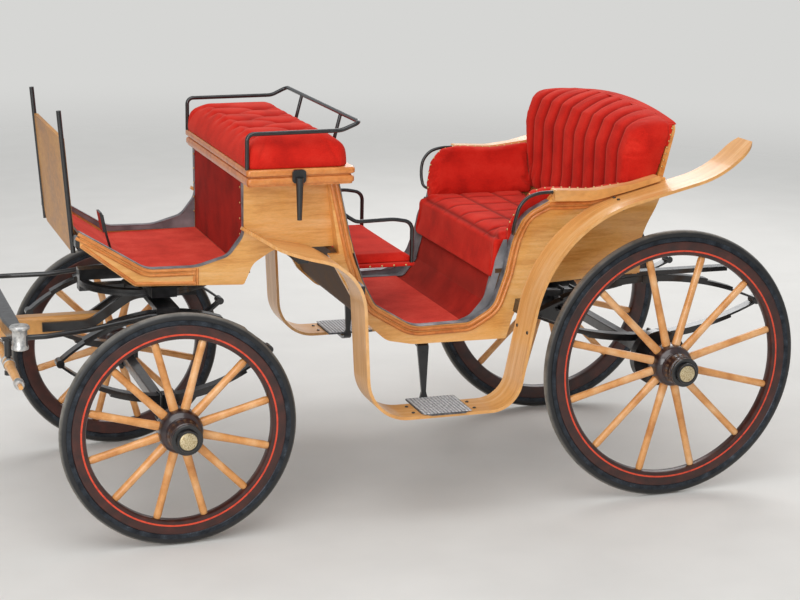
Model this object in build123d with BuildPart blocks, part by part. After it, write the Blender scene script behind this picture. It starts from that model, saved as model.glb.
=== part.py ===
from build123d import *
import math
import os

# Four-wheeled horse-drawn carriage: driver's box in front, open passenger seat behind.
# X runs rearwards, Y to the carriage's right and Z up, in millimetres.
# The origin is on the ground in the middle of the overall length, so lengths along the
# carriage are given from the front axle and placed by the planes made below.

# Wheels and axles
wheelbase = 2008.0
half_track = 635.0
front_tyre_radius = 446.0
rear_tyre_radius = 550.0
tyre_width = 38.0
tyre_height = 34.0
tyre_crown = 9.0
channel_height = 9.0
felloe_width = 44.0
front_felloe_depth = 54.0
rear_felloe_depth = 57.0
spoke_count = 12
spoke_root_radius = 18.0
spoke_tip_radius = 14.0
nave_radius = 84.0
nave_inboard = 92.0
nave_outboard = 132.0
cap_radius = 42.0
cap_length = 26.0
arm_radius = 22.0
arm_clearance = 0.3
drum_radius = 115.0
drum_depth = 40.0
drum_wall = 8.0
axle_square = 44.0
spring_y = 400.0
spring_width = 46.0
leaf_thickness = 9.0
front_spring_half = 400.0
rear_spring_half = 500.0

# Pole and draught gear
pole_reach = 2750.0
pole_height = 715.0
pole_tip_height = 930.0
pole_width = 70.0
pole_depth = 76.0
pole_tip_radius = 24.0
splinter_x = -565.0
splinter_half = 550.0
swingletree_x = -587.0
swingletree_y = 400.0
swingletree_z = 680.0
swingletree_half = 300.0
swingletree_radius = 21.0
trace_pin_radius = 8.0
trace_pin_length = 30.0

# Turntable
ring_radius = 260.0
ring_band = 34.0
ring_thickness = 12.0
ring_clearance = 1.0
ring_z = 866.0
kingpin_radius = 16.0

# Driver's box
box_half = 420.0
box_board = 24.0
box_top = 1320.0
box_front_x = 298.0
seat_frame_half = 524.0
seat_frame_height = 64.0
seat_frame_front = 286.0
seat_frame_rear = 706.0
front_floor_z = 985.0
floor_board = 20.0

# Passenger body
body_half = 490.0
body_board = 25.0
body_flare = 68.0
flare_low_z = 1085.0
flare_high_z = 1215.0
flare_radius = 250.0
well_floor_z = 716.0
seat_board_z = 945.0
seat_front_x = 1290.0
seat_back_x = 1812.0
cushion_height = 125.0
arm_rail_width = 50.0
arm_pad_thickness = 42.0
fit_gap = 0.3

# Mudguard strips with the steps
fender_inner_y = 560.0
fender_width = 165.0
fender_thickness = 12.0
step_tread_thickness = 7.0
step_tread_width = 220.0
step_x = 1025.0
step_length = 200.0
rail_radius = 8.0

overall_length = pole_reach + wheelbase + rear_tyre_radius
front_axle_x = pole_reach - overall_length / 2


def side_plane(y):
    """Side view at distance y to the right: local x rearwards from the front axle, local y up."""
    return Plane(origin=(front_axle_x, y, 0), x_dir=(1, 0, 0), z_dir=(0, -1, 0))


def cross_plane(x):
    """View from the rear at x behind the front axle: local x to the right, local y up."""
    return Plane(origin=(front_axle_x + x, 0, 0), x_dir=(0, 1, 0), z_dir=(1, 0, 0))


def top_plane(z):
    """Plan view at height z: local x rearwards from the front axle, local y to the right."""
    return Plane(origin=(front_axle_x, 0, z))


def place(x, y, z):
    """A point given from the front axle's centre line on the ground."""
    return Vector(front_axle_x + x, y, z)


def save(name, piece):
    """Label a finished piece and write it to its own file."""
    piece.part.label = name
    export_step(piece.part, f"parts/{name}.step")


def band(points, radii, thickness):
    """Face of a bent strip: a rounded polyline and its copy set off to the left, or right if negative."""
    with BuildLine() as line:
        FilletPolyline(*points, radius=radii)
        offset(amount=abs(thickness), side=Side.LEFT if thickness > 0 else Side.RIGHT)
    make_face(line.edges())


os.makedirs("parts", exist_ok=True)


# Wheels: solid tyre in a steel channel, wooden felloe, round spokes and a turned nave

def make_tyre(name, hub, radius):
    inner = radius - tyre_height
    shoulder = radius - tyre_crown
    with BuildPart() as tyre:
        with BuildSketch(Plane(origin=hub)):
            with BuildLine():
                Polyline((inner, -tyre_width / 2), (shoulder, -tyre_width / 2), (radius, 0),
                         (shoulder, tyre_width / 2), (inner, tyre_width / 2), close=True)
            make_face()
        revolve(axis=Axis(hub, (0, 1, 0)))
    save(name, tyre)


def make_wheel(name, hub, radius, felloe_depth, outward):
    channel_outer = radius - tyre_height
    felloe_outer = channel_outer - channel_height
    felloe_inner = felloe_outer - felloe_depth
    nave_profile = [
        (arm_radius + arm_clearance, -nave_inboard),
        (nave_radius * 0.66, -nave_inboard),
        (nave_radius * 0.78, -nave_inboard * 0.55),
        (nave_radius, -nave_inboard * 0.35),
        (nave_radius, nave_inboard * 0.35),
        (nave_radius * 0.80, nave_inboard * 0.6),
        (nave_radius * 0.70, nave_outboard),
        (arm_radius + arm_clearance, nave_outboard),
    ]
    with BuildPart() as wheel:
        with BuildSketch(Plane(origin=hub)):
            with Locations(((felloe_outer + felloe_inner) / 2, 0)):
                Rectangle(felloe_depth, felloe_width)
            with Locations(((channel_outer + felloe_outer) / 2, 0)):
                Rectangle(channel_height, tyre_width)
        revolve(axis=Axis(hub, (0, 1, 0)))
        with BuildSketch(Plane(origin=hub)):
            with BuildLine():
                Polyline(*[(r, outward * y) for r, y in nave_profile], close=True)
            make_face()
        revolve(axis=Axis(hub, (0, 1, 0)))
        spoke_length = felloe_inner - nave_radius + 14
        for index in range(spoke_count):
            angle = math.radians(360 * (index + 0.5) / spoke_count)
            direction = Vector(math.cos(angle), 0, math.sin(angle))
            with Locations(Plane(hub + direction * (nave_radius - 8), z_dir=direction)):
                Cone(spoke_root_radius, spoke_tip_radius, spoke_length,
                     align=(Align.CENTER, Align.CENTER, Align.MIN))
    save(name, wheel)


def make_cap(name, hub, outward):
    face = hub + Vector(0, outward * nave_outboard, 0)
    with BuildPart() as cap:
        with BuildSketch(Plane(face, z_dir=(0, outward, 0))):
            Circle(cap_radius)
        extrude(amount=cap_length)
        chamfer(cap.faces().sort_by(Axis.Y)[-1 if outward > 0 else 0].edges(), 6)
    save(name, cap)


def make_drum(name, hub, outward):
    face = hub - Vector(0, outward * nave_inboard, 0)
    with BuildPart() as drum:
        with BuildSketch(Plane(face, z_dir=(0, -outward, 0))):
            Circle(drum_radius)
            Circle(arm_radius + arm_clearance, mode=Mode.SUBTRACT)
        extrude(amount=drum_depth)
        with BuildSketch(Plane(face - Vector(0, outward * drum_wall, 0), z_dir=(0, -outward, 0))):
            Circle(drum_radius - drum_wall)
        extrude(amount=drum_depth, mode=Mode.SUBTRACT)
    save(name, drum)


# axle name, distance behind the front axle, tyre radius, felloe depth
axles = [
    ("front", 0.0, front_tyre_radius, front_felloe_depth),
    ("rear", wheelbase, rear_tyre_radius, rear_felloe_depth),
]
sides = [("left", -1), ("right", 1)]
for axle_name, axle_x, tyre_radius, felloe_depth in axles:
    for side_name, outward in sides:
        hub = place(axle_x, outward * half_track, tyre_radius)
        make_tyre(f"{axle_name}_{side_name}_tyre", hub, tyre_radius)
        make_wheel(f"{axle_name}_{side_name}_wheel", hub, tyre_radius, felloe_depth, outward)
        make_cap(f"{axle_name}_{side_name}_hub_cap", hub, outward)
        if axle_name == "rear":
            make_drum(f"{axle_name}_{side_name}_brake_drum", hub, outward)


# Axles: a square forged beam with round arms that carry the naves

def make_axle(name, x, z, beam_half, plate_radius):
    with BuildPart() as axle:
        with BuildSketch(side_plane(beam_half)):
            with Locations((x, z)):
                RectangleRounded(axle_square, axle_square, 5)
        extrude(amount=2 * beam_half)
        with BuildSketch(side_plane(half_track + nave_outboard - 4)):
            with Locations((x, z)):
                Circle(arm_radius)
        extrude(amount=2 * (half_track + nave_outboard - 4))
        with BuildSketch(top_plane(z)):
            with Locations((x, spring_y), (x, -spring_y)):
                Rectangle(90, spring_width + 8)
        extrude(amount=spring_seat_height)
        if plate_radius:
            with BuildSketch(side_plane(beam_half)):
                with Locations((x, z)):
                    Circle(plate_radius)
            extrude(amount=6)
            with BuildSketch(side_plane(6 - beam_half)):
                with Locations((x, z)):
                    Circle(plate_radius)
            extrude(amount=6)
    save(name, axle)


# Elliptic springs: each half a stack of leaves bent to arcs, joined at the eyes

def make_springs(name, x, bottom, top, half_length):
    eye_z = (bottom + top) / 2
    leaf_count = 3
    stack = leaf_count * leaf_thickness
    sag = (top - bottom) / 2 - stack
    bend_radius = (half_length ** 2 + sag ** 2) / (2 * sag)
    with BuildPart() as springs:
        for upward in (1, -1):
            for index in range(leaf_count):
                reach = half_length - index * half_length * 0.24
                inner = bend_radius + index * leaf_thickness
                outer = inner + leaf_thickness
                half_angle = math.asin(reach / bend_radius)
                centre_z = eye_z + upward * (sag - bend_radius)
                with BuildSketch(side_plane(spring_y + spring_width / 2)):
                    with BuildLine():
                        ends = []
                        for r in (inner, outer):
                            start = (x - r * math.sin(half_angle),
                                     centre_z + upward * r * math.cos(half_angle))
                            end = (x + r * math.sin(half_angle),
                                   centre_z + upward * r * math.cos(half_angle))
                            ThreePointArc(start, (x, centre_z + upward * r), end)
                            ends.append((start, end))
                        Line(ends[0][0], ends[1][0])
                        Line(ends[0][1], ends[1][1])
                    make_face()
                extrude(amount=spring_width)
        with BuildSketch(side_plane(spring_y + spring_width / 2 + 2)):
            with Locations((x - half_length, eye_z), (x + half_length, eye_z)):
                Circle(leaf_thickness * 1.7)
        extrude(amount=spring_width + 4)
        with BuildSketch(side_plane(spring_y + spring_width / 2 + 4)):
            with Locations((x, bottom + stack / 2 + 2), (x, top - stack / 2 - 2)):
                Rectangle(70, stack + 4)
        extrude(amount=spring_width + 8)
        mirror(about=Plane.XZ)
    save(name, springs)


spring_seat_height = axle_square / 2 + 22
front_spring_bottom = front_tyre_radius + spring_seat_height
front_bed_z = ring_z - 20
rear_spring_bottom = rear_tyre_radius + spring_seat_height
rear_iron_z = 868.0
rear_iron_thickness = 19.0
hub_gap = 6.0
front_beam_half = half_track - nave_inboard - hub_gap
rear_beam_half = front_beam_half - drum_depth
make_axle("front_axle", 0, front_tyre_radius, front_beam_half, 0)
make_axle("rear_axle", wheelbase, rear_tyre_radius, rear_beam_half, drum_radius - drum_wall)
make_springs("front_springs", 0, front_spring_bottom, front_bed_z, front_spring_half)
make_springs("rear_springs", wheelbase, rear_spring_bottom, rear_iron_z, rear_spring_half)


# Turntable: lower ring on the forecarriage bed, upper ring under the body's bolster

stay_radius = 10.0
stay_y = spring_y + spring_width / 2 + 20
bed_half = stay_y + stay_radius + 2
with BuildPart() as forecarriage_bed:
    with BuildSketch(top_plane(front_bed_z)):
        Rectangle(84, 2 * bed_half)
        Rectangle(2 * ring_radius, 60)
        Circle(90)
        Circle(kingpin_radius + arm_clearance, mode=Mode.SUBTRACT)
    extrude(amount=ring_z - front_bed_z)
save("forecarriage_bed", forecarriage_bed)

with BuildPart() as lower_ring:
    with BuildSketch(top_plane(ring_z)):
        Circle(ring_radius)
        Circle(ring_radius - ring_band, mode=Mode.SUBTRACT)
    extrude(amount=ring_thickness)
save("lower_ring", lower_ring)

upper_ring_z = ring_z + ring_thickness + ring_clearance
bolster_z = upper_ring_z + ring_thickness
with BuildPart() as upper_ring:
    with BuildSketch(top_plane(upper_ring_z)):
        Circle(ring_radius)
        Circle(ring_radius - ring_band, mode=Mode.SUBTRACT)
    extrude(amount=ring_thickness)
save("upper_ring", upper_ring)

body_bottom_z = 932.0
with BuildPart() as bolster:
    with BuildSketch(top_plane(bolster_z)):
        Rectangle(96, 2 * (box_half - box_board - 4))
        Rectangle(2 * ring_radius, 70)
    extrude(amount=body_bottom_z - bolster_z)
    with BuildSketch(top_plane(front_bed_z - 30)):
        Circle(kingpin_radius)
    extrude(amount=body_bottom_z - front_bed_z + 30 - 6)
    with BuildSketch(top_plane(front_bed_z - 30)):
        Circle(kingpin_radius + 12)
    extrude(amount=20)
save("bolster", bolster)


# Draught gear: two bent irons carry the pole, which carries the splinter bar and its swingletrees

iron_depth = 36.0
iron_width = 16.0
splinter_pad = 24.0
splinter_height = 46.0
splinter_middle = 60.0
splinter_end = 40.0
splinter_bottom = pole_height + pole_depth / 2 + splinter_pad
splinter_rear_x = splinter_x + splinter_middle / 2
stay_z = splinter_bottom + splinter_height / 2
with BuildPart() as futchells:
    with BuildSketch(side_plane(pole_width / 2 + iron_width)):
        band([(200, front_bed_z - iron_depth), (-50, front_bed_z - iron_depth),
              (-220, pole_height - iron_depth / 2), (splinter_x + 155, pole_height - iron_depth / 2)],
             [120, 120], -iron_depth)
    extrude(amount=iron_width)
    with BuildLine() as stay_line:
        FilletPolyline(
            place(splinter_rear_x, splinter_half - 50, stay_z), place(-460, splinter_half - 50, stay_z),
            place(-300, stay_y + 28, stay_z + 6), place(-70, stay_y, front_bed_z - stay_radius),
            place(42, stay_y, front_bed_z - stay_radius), radius=80)
    with BuildSketch(Plane(stay_line.line @ 0, z_dir=stay_line.line % 0)):
        Circle(stay_radius)
    sweep(path=stay_line.line)
    mirror(about=Plane.XZ)
save("futchells", futchells)

with BuildPart() as splinter_bar:
    with BuildSketch(top_plane(splinter_bottom)):
        with BuildLine():
            Polyline((splinter_rear_x, -splinter_half), (splinter_rear_x, splinter_half),
                     (splinter_rear_x - splinter_end, splinter_half),
                     (splinter_rear_x - splinter_middle, splinter_half * 0.55),
                     (splinter_rear_x - splinter_middle, -splinter_half * 0.55),
                     (splinter_rear_x - splinter_end, -splinter_half), close=True)
        make_face()
    extrude(amount=splinter_height)
    fillet(splinter_bar.edges().group_by(Axis.Z)[-1], 8)
    with BuildSketch(top_plane(splinter_bottom - splinter_pad)):
        with Locations((splinter_x, 0)):
            Rectangle(splinter_middle, pole_width - 28)
    extrude(amount=splinter_pad)
save("splinter_bar", splinter_bar)

pole_start = splinter_x - 60
pole_eye_boss = 24.0
pole_head_length = 2 * pole_eye_boss
pole_heel_x = 170.0
with BuildPart() as pole:
    with BuildSketch(cross_plane(pole_start)):
        with Locations((0, pole_height)):
            RectangleRounded(pole_width, pole_depth, 14)
    extrude(amount=-pole_heel_x - pole_start)
    with BuildSketch(cross_plane(pole_start)):
        with Locations((0, pole_height)):
            RectangleRounded(pole_width, pole_depth, 14)
    with BuildSketch(cross_plane(pole_head_length - pole_reach)):
        with Locations((0, pole_tip_height)):
            RectangleRounded(2 * pole_tip_radius, 2 * pole_tip_radius, pole_tip_radius - 1)
    loft()
save("pole", pole)

pole_eye_radius = 12.0
pole_eye_length = 16.0
# radius, low and high ends of each step of a swingletree's pin
swingletree_pin_steps = [
    (8, swingletree_z - swingletree_radius - 14, splinter_bottom - 8),
    (14, swingletree_z + swingletree_radius + 8, splinter_bottom - 8),
    (16, swingletree_z - swingletree_radius - 22, swingletree_z - swingletree_radius - 8),
]
with BuildPart() as pole_head:
    with BuildSketch(cross_plane(-pole_reach)):
        with Locations((0, pole_tip_height)):
            Circle(pole_tip_radius + 6)
    extrude(amount=pole_head_length)
    with BuildSketch(side_plane(pole_eye_length / 2)):
        with Locations((pole_eye_boss - pole_reach, pole_tip_height - pole_tip_radius - 20)):
            Circle(pole_eye_boss)
            Rectangle(28, 44, align=(Align.CENTER, Align.MIN))
    extrude(amount=pole_eye_length)
    with BuildSketch(side_plane(pole_eye_length / 2)):
        with Locations((pole_eye_boss - pole_reach, pole_tip_height - pole_tip_radius - 20)):
            Circle(pole_eye_radius)
    extrude(amount=pole_eye_length, mode=Mode.SUBTRACT)
save("pole_head", pole_head)

with BuildPart() as swingletree_pins:
    for outward in (1, -1):
        with BuildSketch(top_plane(splinter_bottom - 8)):
            with Locations(((swingletree_x - 22 + splinter_x + 20) / 2, outward * swingletree_y)):
                Rectangle(splinter_x + 42 - swingletree_x, 36)
        extrude(amount=8)
        for radius, low, high in swingletree_pin_steps:
            with BuildSketch(top_plane(low)):
                with Locations((swingletree_x, outward * swingletree_y)):
                    Circle(radius)
            extrude(amount=high - low)
save("swingletree_pins", swingletree_pins)

# distance from the swingletree's middle and its radius there, up to the metal end
swingletree_profile = [
    (0, swingletree_radius), (30, swingletree_radius), (44, swingletree_radius - 3),
    (swingletree_half - 34, swingletree_radius - 7), (swingletree_half - 34, swingletree_radius - 4),
    (swingletree_half, swingletree_radius - 6),
]
for side_name, outward in sides:
    middle = place(swingletree_x, outward * swingletree_y, swingletree_z)
    with BuildPart() as swingletree:
        with BuildSketch(Plane(origin=middle)):
            with BuildLine():
                Polyline((0, 0), *[(radius, distance) for distance, radius in swingletree_profile],
                         (trace_pin_radius, swingletree_half),
                         (trace_pin_radius, swingletree_half + trace_pin_length),
                         (0, swingletree_half + trace_pin_length), close=True)
            make_face()
            mirror(about=Plane.XZ)
        revolve(axis=Axis(middle, (0, 1, 0)))
        with BuildSketch(top_plane(swingletree_z - swingletree_radius)):
            with Locations((swingletree_x, outward * swingletree_y)):
                Circle(8 + arm_clearance)
        extrude(amount=2 * swingletree_radius, mode=Mode.SUBTRACT)
    save(f"{side_name}_swingletree", swingletree)


# Driver's box: curved side boards, toe board, seat box and the dashboard

box_side_outline = [
    (-318, 1105), (-118, 948), (300, 930), (336, 1010), (420, 1062), (694, 1062),
    (665, box_top), (box_front_x, box_top), (box_front_x, 1120), (240, 1045),
    (120, 1010), (-70, 1012), (-318, 1165),
]
box_side_radii = [1, 30, 12, 60, 80, 6, 6, 6, 60, 60, 150, 90, 1]
with BuildPart() as box_sides:
    with BuildSketch(side_plane(box_half)):
        with BuildLine():
            FilletPolyline(*box_side_outline, radius=box_side_radii, close=True)
        make_face()
    extrude(amount=box_board)
    mirror(about=Plane.XZ)
save("box_sides", box_sides)

inner_half = box_half - box_board

def front_floor_section():
    """Level floor and the toe board that slopes up to the dashboard."""
    band([(-318, 1118), (-95, front_floor_z - floor_board), (box_front_x + 18, front_floor_z - floor_board)],
         [60], floor_board)


with BuildPart() as front_floor:
    with BuildSketch(side_plane(inner_half)):
        front_floor_section()
    extrude(amount=2 * inner_half)
save("front_floor", front_floor)

with BuildPart() as box_front_panel:
    with BuildSketch(cross_plane(box_front_x)):
        with Locations((0, (front_floor_z + box_top) / 2)):
            Rectangle(2 * inner_half, box_top - front_floor_z)
    extrude(amount=18)
save("box_front_panel", box_front_panel)

box_floor_board = 14.0
box_floor_z = 1062.0 + box_floor_board
with BuildPart() as box_floor:
    with BuildSketch(side_plane(inner_half)):
        band([(box_front_x + 32, 968), (box_front_x + 32, 1015), (395, box_floor_z - box_floor_board),
              (690, box_floor_z - box_floor_board)], [30, 60], box_floor_board)
    extrude(amount=2 * inner_half)
save("box_floor", box_floor)

with BuildPart() as box_rear_panel:
    with BuildSketch(side_plane(inner_half)):
        with BuildLine():
            Polyline((640, box_top), (660, box_top), (688, box_floor_z), (668, box_floor_z), close=True)
        make_face()
    extrude(amount=2 * inner_half)
save("box_rear_panel", box_rear_panel)

seat_frame_length = seat_frame_rear - seat_frame_front
seat_frame_x = (seat_frame_front + seat_frame_rear) / 2
# low and high edges of each step of the seat moulding above the box, and how far it is set in
seat_moulding_steps = [
    (0, 24, 2),
    (24, 42, 8),
    (42, seat_frame_height, 0),
]
with BuildPart() as driver_seat_frame:
    for low, high, inset in seat_moulding_steps:
        with BuildSketch(top_plane(box_top + low)):
            with Locations((seat_frame_x, 0)):
                RectangleRounded(seat_frame_length - 2 * inset, 2 * (seat_frame_half - inset), 18)
        extrude(amount=high - low)
save("driver_seat_frame", driver_seat_frame)

seat_top_z = box_top + seat_frame_height
driver_cushion_height = 105.0
with BuildPart() as driver_cushion:
    with BuildSketch(top_plane(seat_top_z + fit_gap)):
        with Locations((seat_frame_x - 10, 0)):
            RectangleRounded(seat_frame_length - 28, 2 * (seat_frame_half - 18), 42)
    extrude(amount=driver_cushion_height)
    fillet(driver_cushion.edges().group_by(Axis.Z)[-1], 38)
save("driver_cushion", driver_cushion)

dash_x = -318.0
dash_lean = 34.0
dash_thickness = 14.0
dash_foot_z = 1068.0
dash_half = 330.0
dash_height = 430.0
with BuildPart() as dashboard:
    dash_plane = Plane(origin=place(dash_x, 0, dash_foot_z), x_dir=(0, 1, 0),
                       z_dir=Vector(dash_height, 0, dash_lean).normalized())
    with BuildSketch(dash_plane):
        with Locations((0, dash_height / 2)):
            RectangleRounded(2 * dash_half, dash_height, 60)
        with Locations((0, dash_height * 0.75)):
            RectangleRounded(2 * dash_half, dash_height / 2, 8)
    extrude(amount=-dash_thickness)
save("dashboard", dashboard)

post_radius = 9.0
post_y = dash_half + post_radius
post_height = 530.0
with BuildPart() as dash_posts:
    for outward in (1, -1):
        with BuildLine() as post_line:
            Line(place(dash_x - 12, outward * post_y, dash_foot_z + 2),
                 place(dash_x - 12 - dash_lean * post_height / dash_height, outward * post_y,
                       dash_foot_z + 2 + post_height))
        with BuildSketch(Plane(post_line.line @ 0, z_dir=post_line.line % 0)):
            Circle(post_radius)
        sweep(path=post_line.line)
        with BuildSketch(cross_plane(dash_x)):
            with Locations((outward * (post_y + box_half) / 2, 1122)):
                Rectangle(box_half - post_y, 30)
        extrude(amount=-16)
    with BuildSketch(side_plane(inner_half - 2)):
        with BuildLine():
            Polyline((-321, 1117.5), (-318, 1117.5), (-296, 1102.4), (-296, 1086), (-319, 1086), close=True)
        make_face()
    extrude(amount=2 * (inner_half - 2))
save("dash_posts", dash_posts)

pedal_y = 200.0
with BuildPart() as brake_pedal:
    with BuildSketch(side_plane(9 - pedal_y)):
        band([(-155, 1020), (-178, 1105), (-192, 1180)], [60], 8)
    extrude(amount=18)
    with BuildSketch(side_plane(32 - pedal_y)):
        with BuildLine():
            Polyline((-188, 1120), (-202, 1196), (-212, 1194), (-198, 1118), close=True)
        make_face()
    extrude(amount=64)
    fillet(brake_pedal.edges().filter_by(Axis.Y).group_by(Axis.Z)[-1], 3)
    with BuildSketch(side_plane(inner_half)):
        front_floor_section()
    extrude(amount=2 * inner_half, mode=Mode.SUBTRACT)
save("brake_pedal", brake_pedal)


# Passenger body: deep well with an open entrance, seat, flared arms and a crowned back

body_front_x = 600.0
body_length = 1400.0
body_side_outline = [
    (612, 1045), (765, 768), (850, 690), (960, 668), (1350, 665), (1376, 750), (1440, 878),
    (1925, 900), (1925, 1040), (1985.4, 1300), (1945, 1299), (1830, 1266), (1664, 1240), (1500, 1246),
    (1485, 1226), (1395, 1176), (1362, 1060), (1335, 930), (1290, 800), (1190, 742), (960, 738),
    (800, 835), (750, 930), (705, 1045),
]
body_side_radii = [
    4, 60, 80, 120, 6, 60, 30, 6, 100, 6, 6, 100, 100, 4,
    8, 90, 150, 200, 80, 60, 120, 60, 60, 4,
]
arm_rail_outline = [
    (1500, 1272), (1500, 1229), (1664, 1221), (1825, 1257), (1952, 1290),
    (1945, 1311), (1836, 1283), (1664, 1264),
]
arm_rail_radii = [8, 2, 250, 250, 2, 6, 250, 250]
body_inner = body_half - body_board


def flared_wall(y, thickness):
    """Section of a side: upright, then swept outwards under the arm, from y outwards by its thickness."""
    band([(y, 600), (y, flare_low_z), (y + body_flare, flare_high_z), (y + body_flare, 1400)],
         [flare_radius, flare_radius], -thickness)


with BuildPart() as body_sides:
    with BuildSketch(side_plane(body_half + 2 * body_flare)):
        with BuildLine():
            FilletPolyline(*body_side_outline, radius=body_side_radii, close=True)
        make_face()
        with BuildLine():
            FilletPolyline(*arm_rail_outline, radius=arm_rail_radii, close=True)
        make_face(mode=Mode.SUBTRACT)
    extrude(amount=body_board + 2 * body_flare)
    with BuildSketch(cross_plane(body_front_x)):
        flared_wall(body_inner, body_board)
    extrude(amount=body_length, mode=Mode.INTERSECT)
    mirror(about=Plane.XZ)
save("body_sides", body_sides)

with BuildPart() as arm_rails:
    with BuildSketch(side_plane(body_half + 2 * body_flare)):
        with BuildLine():
            FilletPolyline(*arm_rail_outline, radius=arm_rail_radii, close=True)
        make_face()
    extrude(amount=body_board + 2 * body_flare)
    with BuildSketch(cross_plane(body_front_x)):
        flared_wall(body_inner, arm_rail_width)
    extrude(amount=body_length, mode=Mode.INTERSECT)
    mirror(about=Plane.XZ)
save("arm_rails", arm_rails)

arm_pad_outline = [
    (1349, 1071), (1349, 1118), (1380, 1208), (1430, 1262), (1500, 1272), (1664, 1263), (1811, 1279),
    (1811, 1071),
]
arm_pad_radii = [6, 60, 60, 40, 200, 200, 6, 6]
with BuildPart() as arm_pads:
    with BuildSketch(side_plane(body_half + body_flare)):
        with BuildLine():
            FilletPolyline(*arm_pad_outline, radius=arm_pad_radii, close=True)
        make_face()
    extrude(amount=2 * body_flare + arm_pad_thickness)
    with BuildSketch(cross_plane(body_front_x)):
        flared_wall(body_inner - fit_gap, -arm_pad_thickness)
    extrude(amount=body_length, mode=Mode.INTERSECT)
    mirror(about=Plane.XZ)
save("arm_pads", arm_pads)

rail_end_x = arm_rail_outline[0][0]
handle_y = body_inner + body_flare + arm_rail_width / 2
with BuildPart() as arm_handles:
    with BuildLine() as handle_line:
        FilletPolyline(
            place(rail_end_x, handle_y, 1260), place(1436, handle_y, 1260), place(1368, handle_y, 1232),
            place(1348, handle_y - 8, 1152), place(1352, handle_y - 36, 1098),
            place(1376, body_half - 8, 1084), radius=[60, 50, 50, 20])
    with BuildSketch(Plane(handle_line.line @ 0, z_dir=handle_line.line % 0)):
        Circle(rail_radius - 1)
    sweep(path=handle_line.line)
    with BuildSketch(cross_plane(body_front_x)):
        flared_wall(body_inner, body_board)
    extrude(amount=body_length, mode=Mode.SUBTRACT)
    mirror(about=Plane.XZ)
save("arm_handles", arm_handles)

well_board = 18.0
well_underside = well_floor_z - well_board
with BuildPart() as passenger_well:
    with BuildSketch(side_plane(body_inner)):
        band([(627.3, 1053.4), (785, 762), (850, well_underside), (1240, well_underside), (1306, 790),
              (1341.5, seat_board_z - well_board - 5)], [60, 60, 50, 60], well_board)
    extrude(amount=2 * body_inner)
save("passenger_well", passenger_well)

back_foot_x = 1903.0
back_thickness = 22.0
with BuildPart() as seat_board:
    with BuildSketch(side_plane(body_inner)):
        with Locations((seat_front_x + 16, seat_board_z - well_board)):
            Rectangle(back_foot_x - seat_front_x - 16, well_board, align=(Align.MIN, Align.MIN))
        with Locations((1450, rear_iron_z + rear_iron_thickness)):
            Rectangle(back_foot_x - 1450, well_board, align=(Align.MIN, Align.MIN))
    extrude(amount=2 * body_inner)
save("seat_board", seat_board)

back_corner_z = 1502.0
back_crown_z = 1549.0


def back_view(inset):
    """Front view of the back: it fills the space between the flared sides and is crowned at the top."""
    low_y = body_inner - inset
    high_y = low_y + body_flare
    with BuildLine() as outline:
        FilletPolyline((0, 850), (low_y, 850), (low_y, flare_low_z), (high_y, flare_high_z),
                       (high_y, back_corner_z - inset), radius=[1, flare_radius, flare_radius])
        ThreePointArc((high_y, back_corner_z - inset), (0, back_crown_z - inset),
                      (-high_y, back_corner_z - inset))
        FilletPolyline((0, 850), (-low_y, 850), (-low_y, flare_low_z), (-high_y, flare_high_z),
                       (-high_y, back_corner_z - inset), radius=[1, flare_radius, flare_radius])
    make_face(outline.edges())


with BuildPart() as back_shell:
    with BuildSketch(side_plane(body_half + body_flare)):
        band([(back_foot_x + back_thickness, 890), (back_foot_x + back_thickness, 1040),
              (1990, 1320), (2048, 1560)], [100, 200], back_thickness)
    extrude(amount=2 * (body_half + body_flare))
    with BuildSketch(cross_plane(seat_back_x)) as shell_view:
        back_view(0)
        fillet(shell_view.vertices().group_by(Axis.Y)[-1], 40)
    extrude(amount=400, mode=Mode.INTERSECT)
save("back_shell", back_shell)

with BuildPart() as passenger_cushion:
    with BuildSketch(side_plane(body_inner - 3)):
        with Locations(((seat_front_x + seat_back_x) / 2, seat_board_z + fit_gap + cushion_height / 2)):
            RectangleRounded(seat_back_x - seat_front_x - 4, cushion_height, 30)
    extrude(amount=2 * (body_inner - 3))
save("passenger_cushion", passenger_cushion)

with BuildPart() as back_cushion:
    with BuildSketch(side_plane(body_half + body_flare)):
        with BuildLine():
            FilletPolyline((seat_back_x, 1073), (1831, 1190), (1831, 1385), (1868, 1484), (1938, 1542),
                           (2017, 1552), (1964, 1325), (1905, 1073),
                           radius=[20, 100, 100, 80, 60, 6, 200, 10], close=True)
        make_face()
    extrude(amount=2 * (body_half + body_flare))
    with BuildSketch(cross_plane(seat_back_x)) as cushion_view:
        back_view(3)
        fillet(cushion_view.vertices().group_by(Axis.Y)[-1], 48)
    extrude(amount=400, mode=Mode.INTERSECT)
save("back_cushion", back_cushion)

post_low_z = body_side_outline[0][1]
with BuildPart() as side_posts:
    with BuildSketch(top_plane(post_low_z)):
        with Locations((655, box_half)):
            Rectangle(60, body_half - box_half, align=(Align.MIN, Align.MIN))
    with BuildSketch(top_plane(box_top)):
        with Locations((622, box_half)):
            Rectangle(42, 26, align=(Align.MIN, Align.MIN))
    loft()
    mirror(about=Plane.XZ)
save("side_posts", side_posts)


# Mudguards: one bent strip a side that starts in a point on the box, drops to a step and
# sweeps up over the rear wheel

fender_outer_y = fender_inner_y + fender_width
step_top_z = 449.0
step_underside = step_top_z - fender_thickness
fender_path = [
    (285, 1146), (385, 1093), (675, 1033), (707, step_underside), (1311, step_underside), (1448, 1144),
    (2155, 1320), (2290, 1445),
]
fender_radii = [120, 205, 170, 130, 525, 420]
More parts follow.
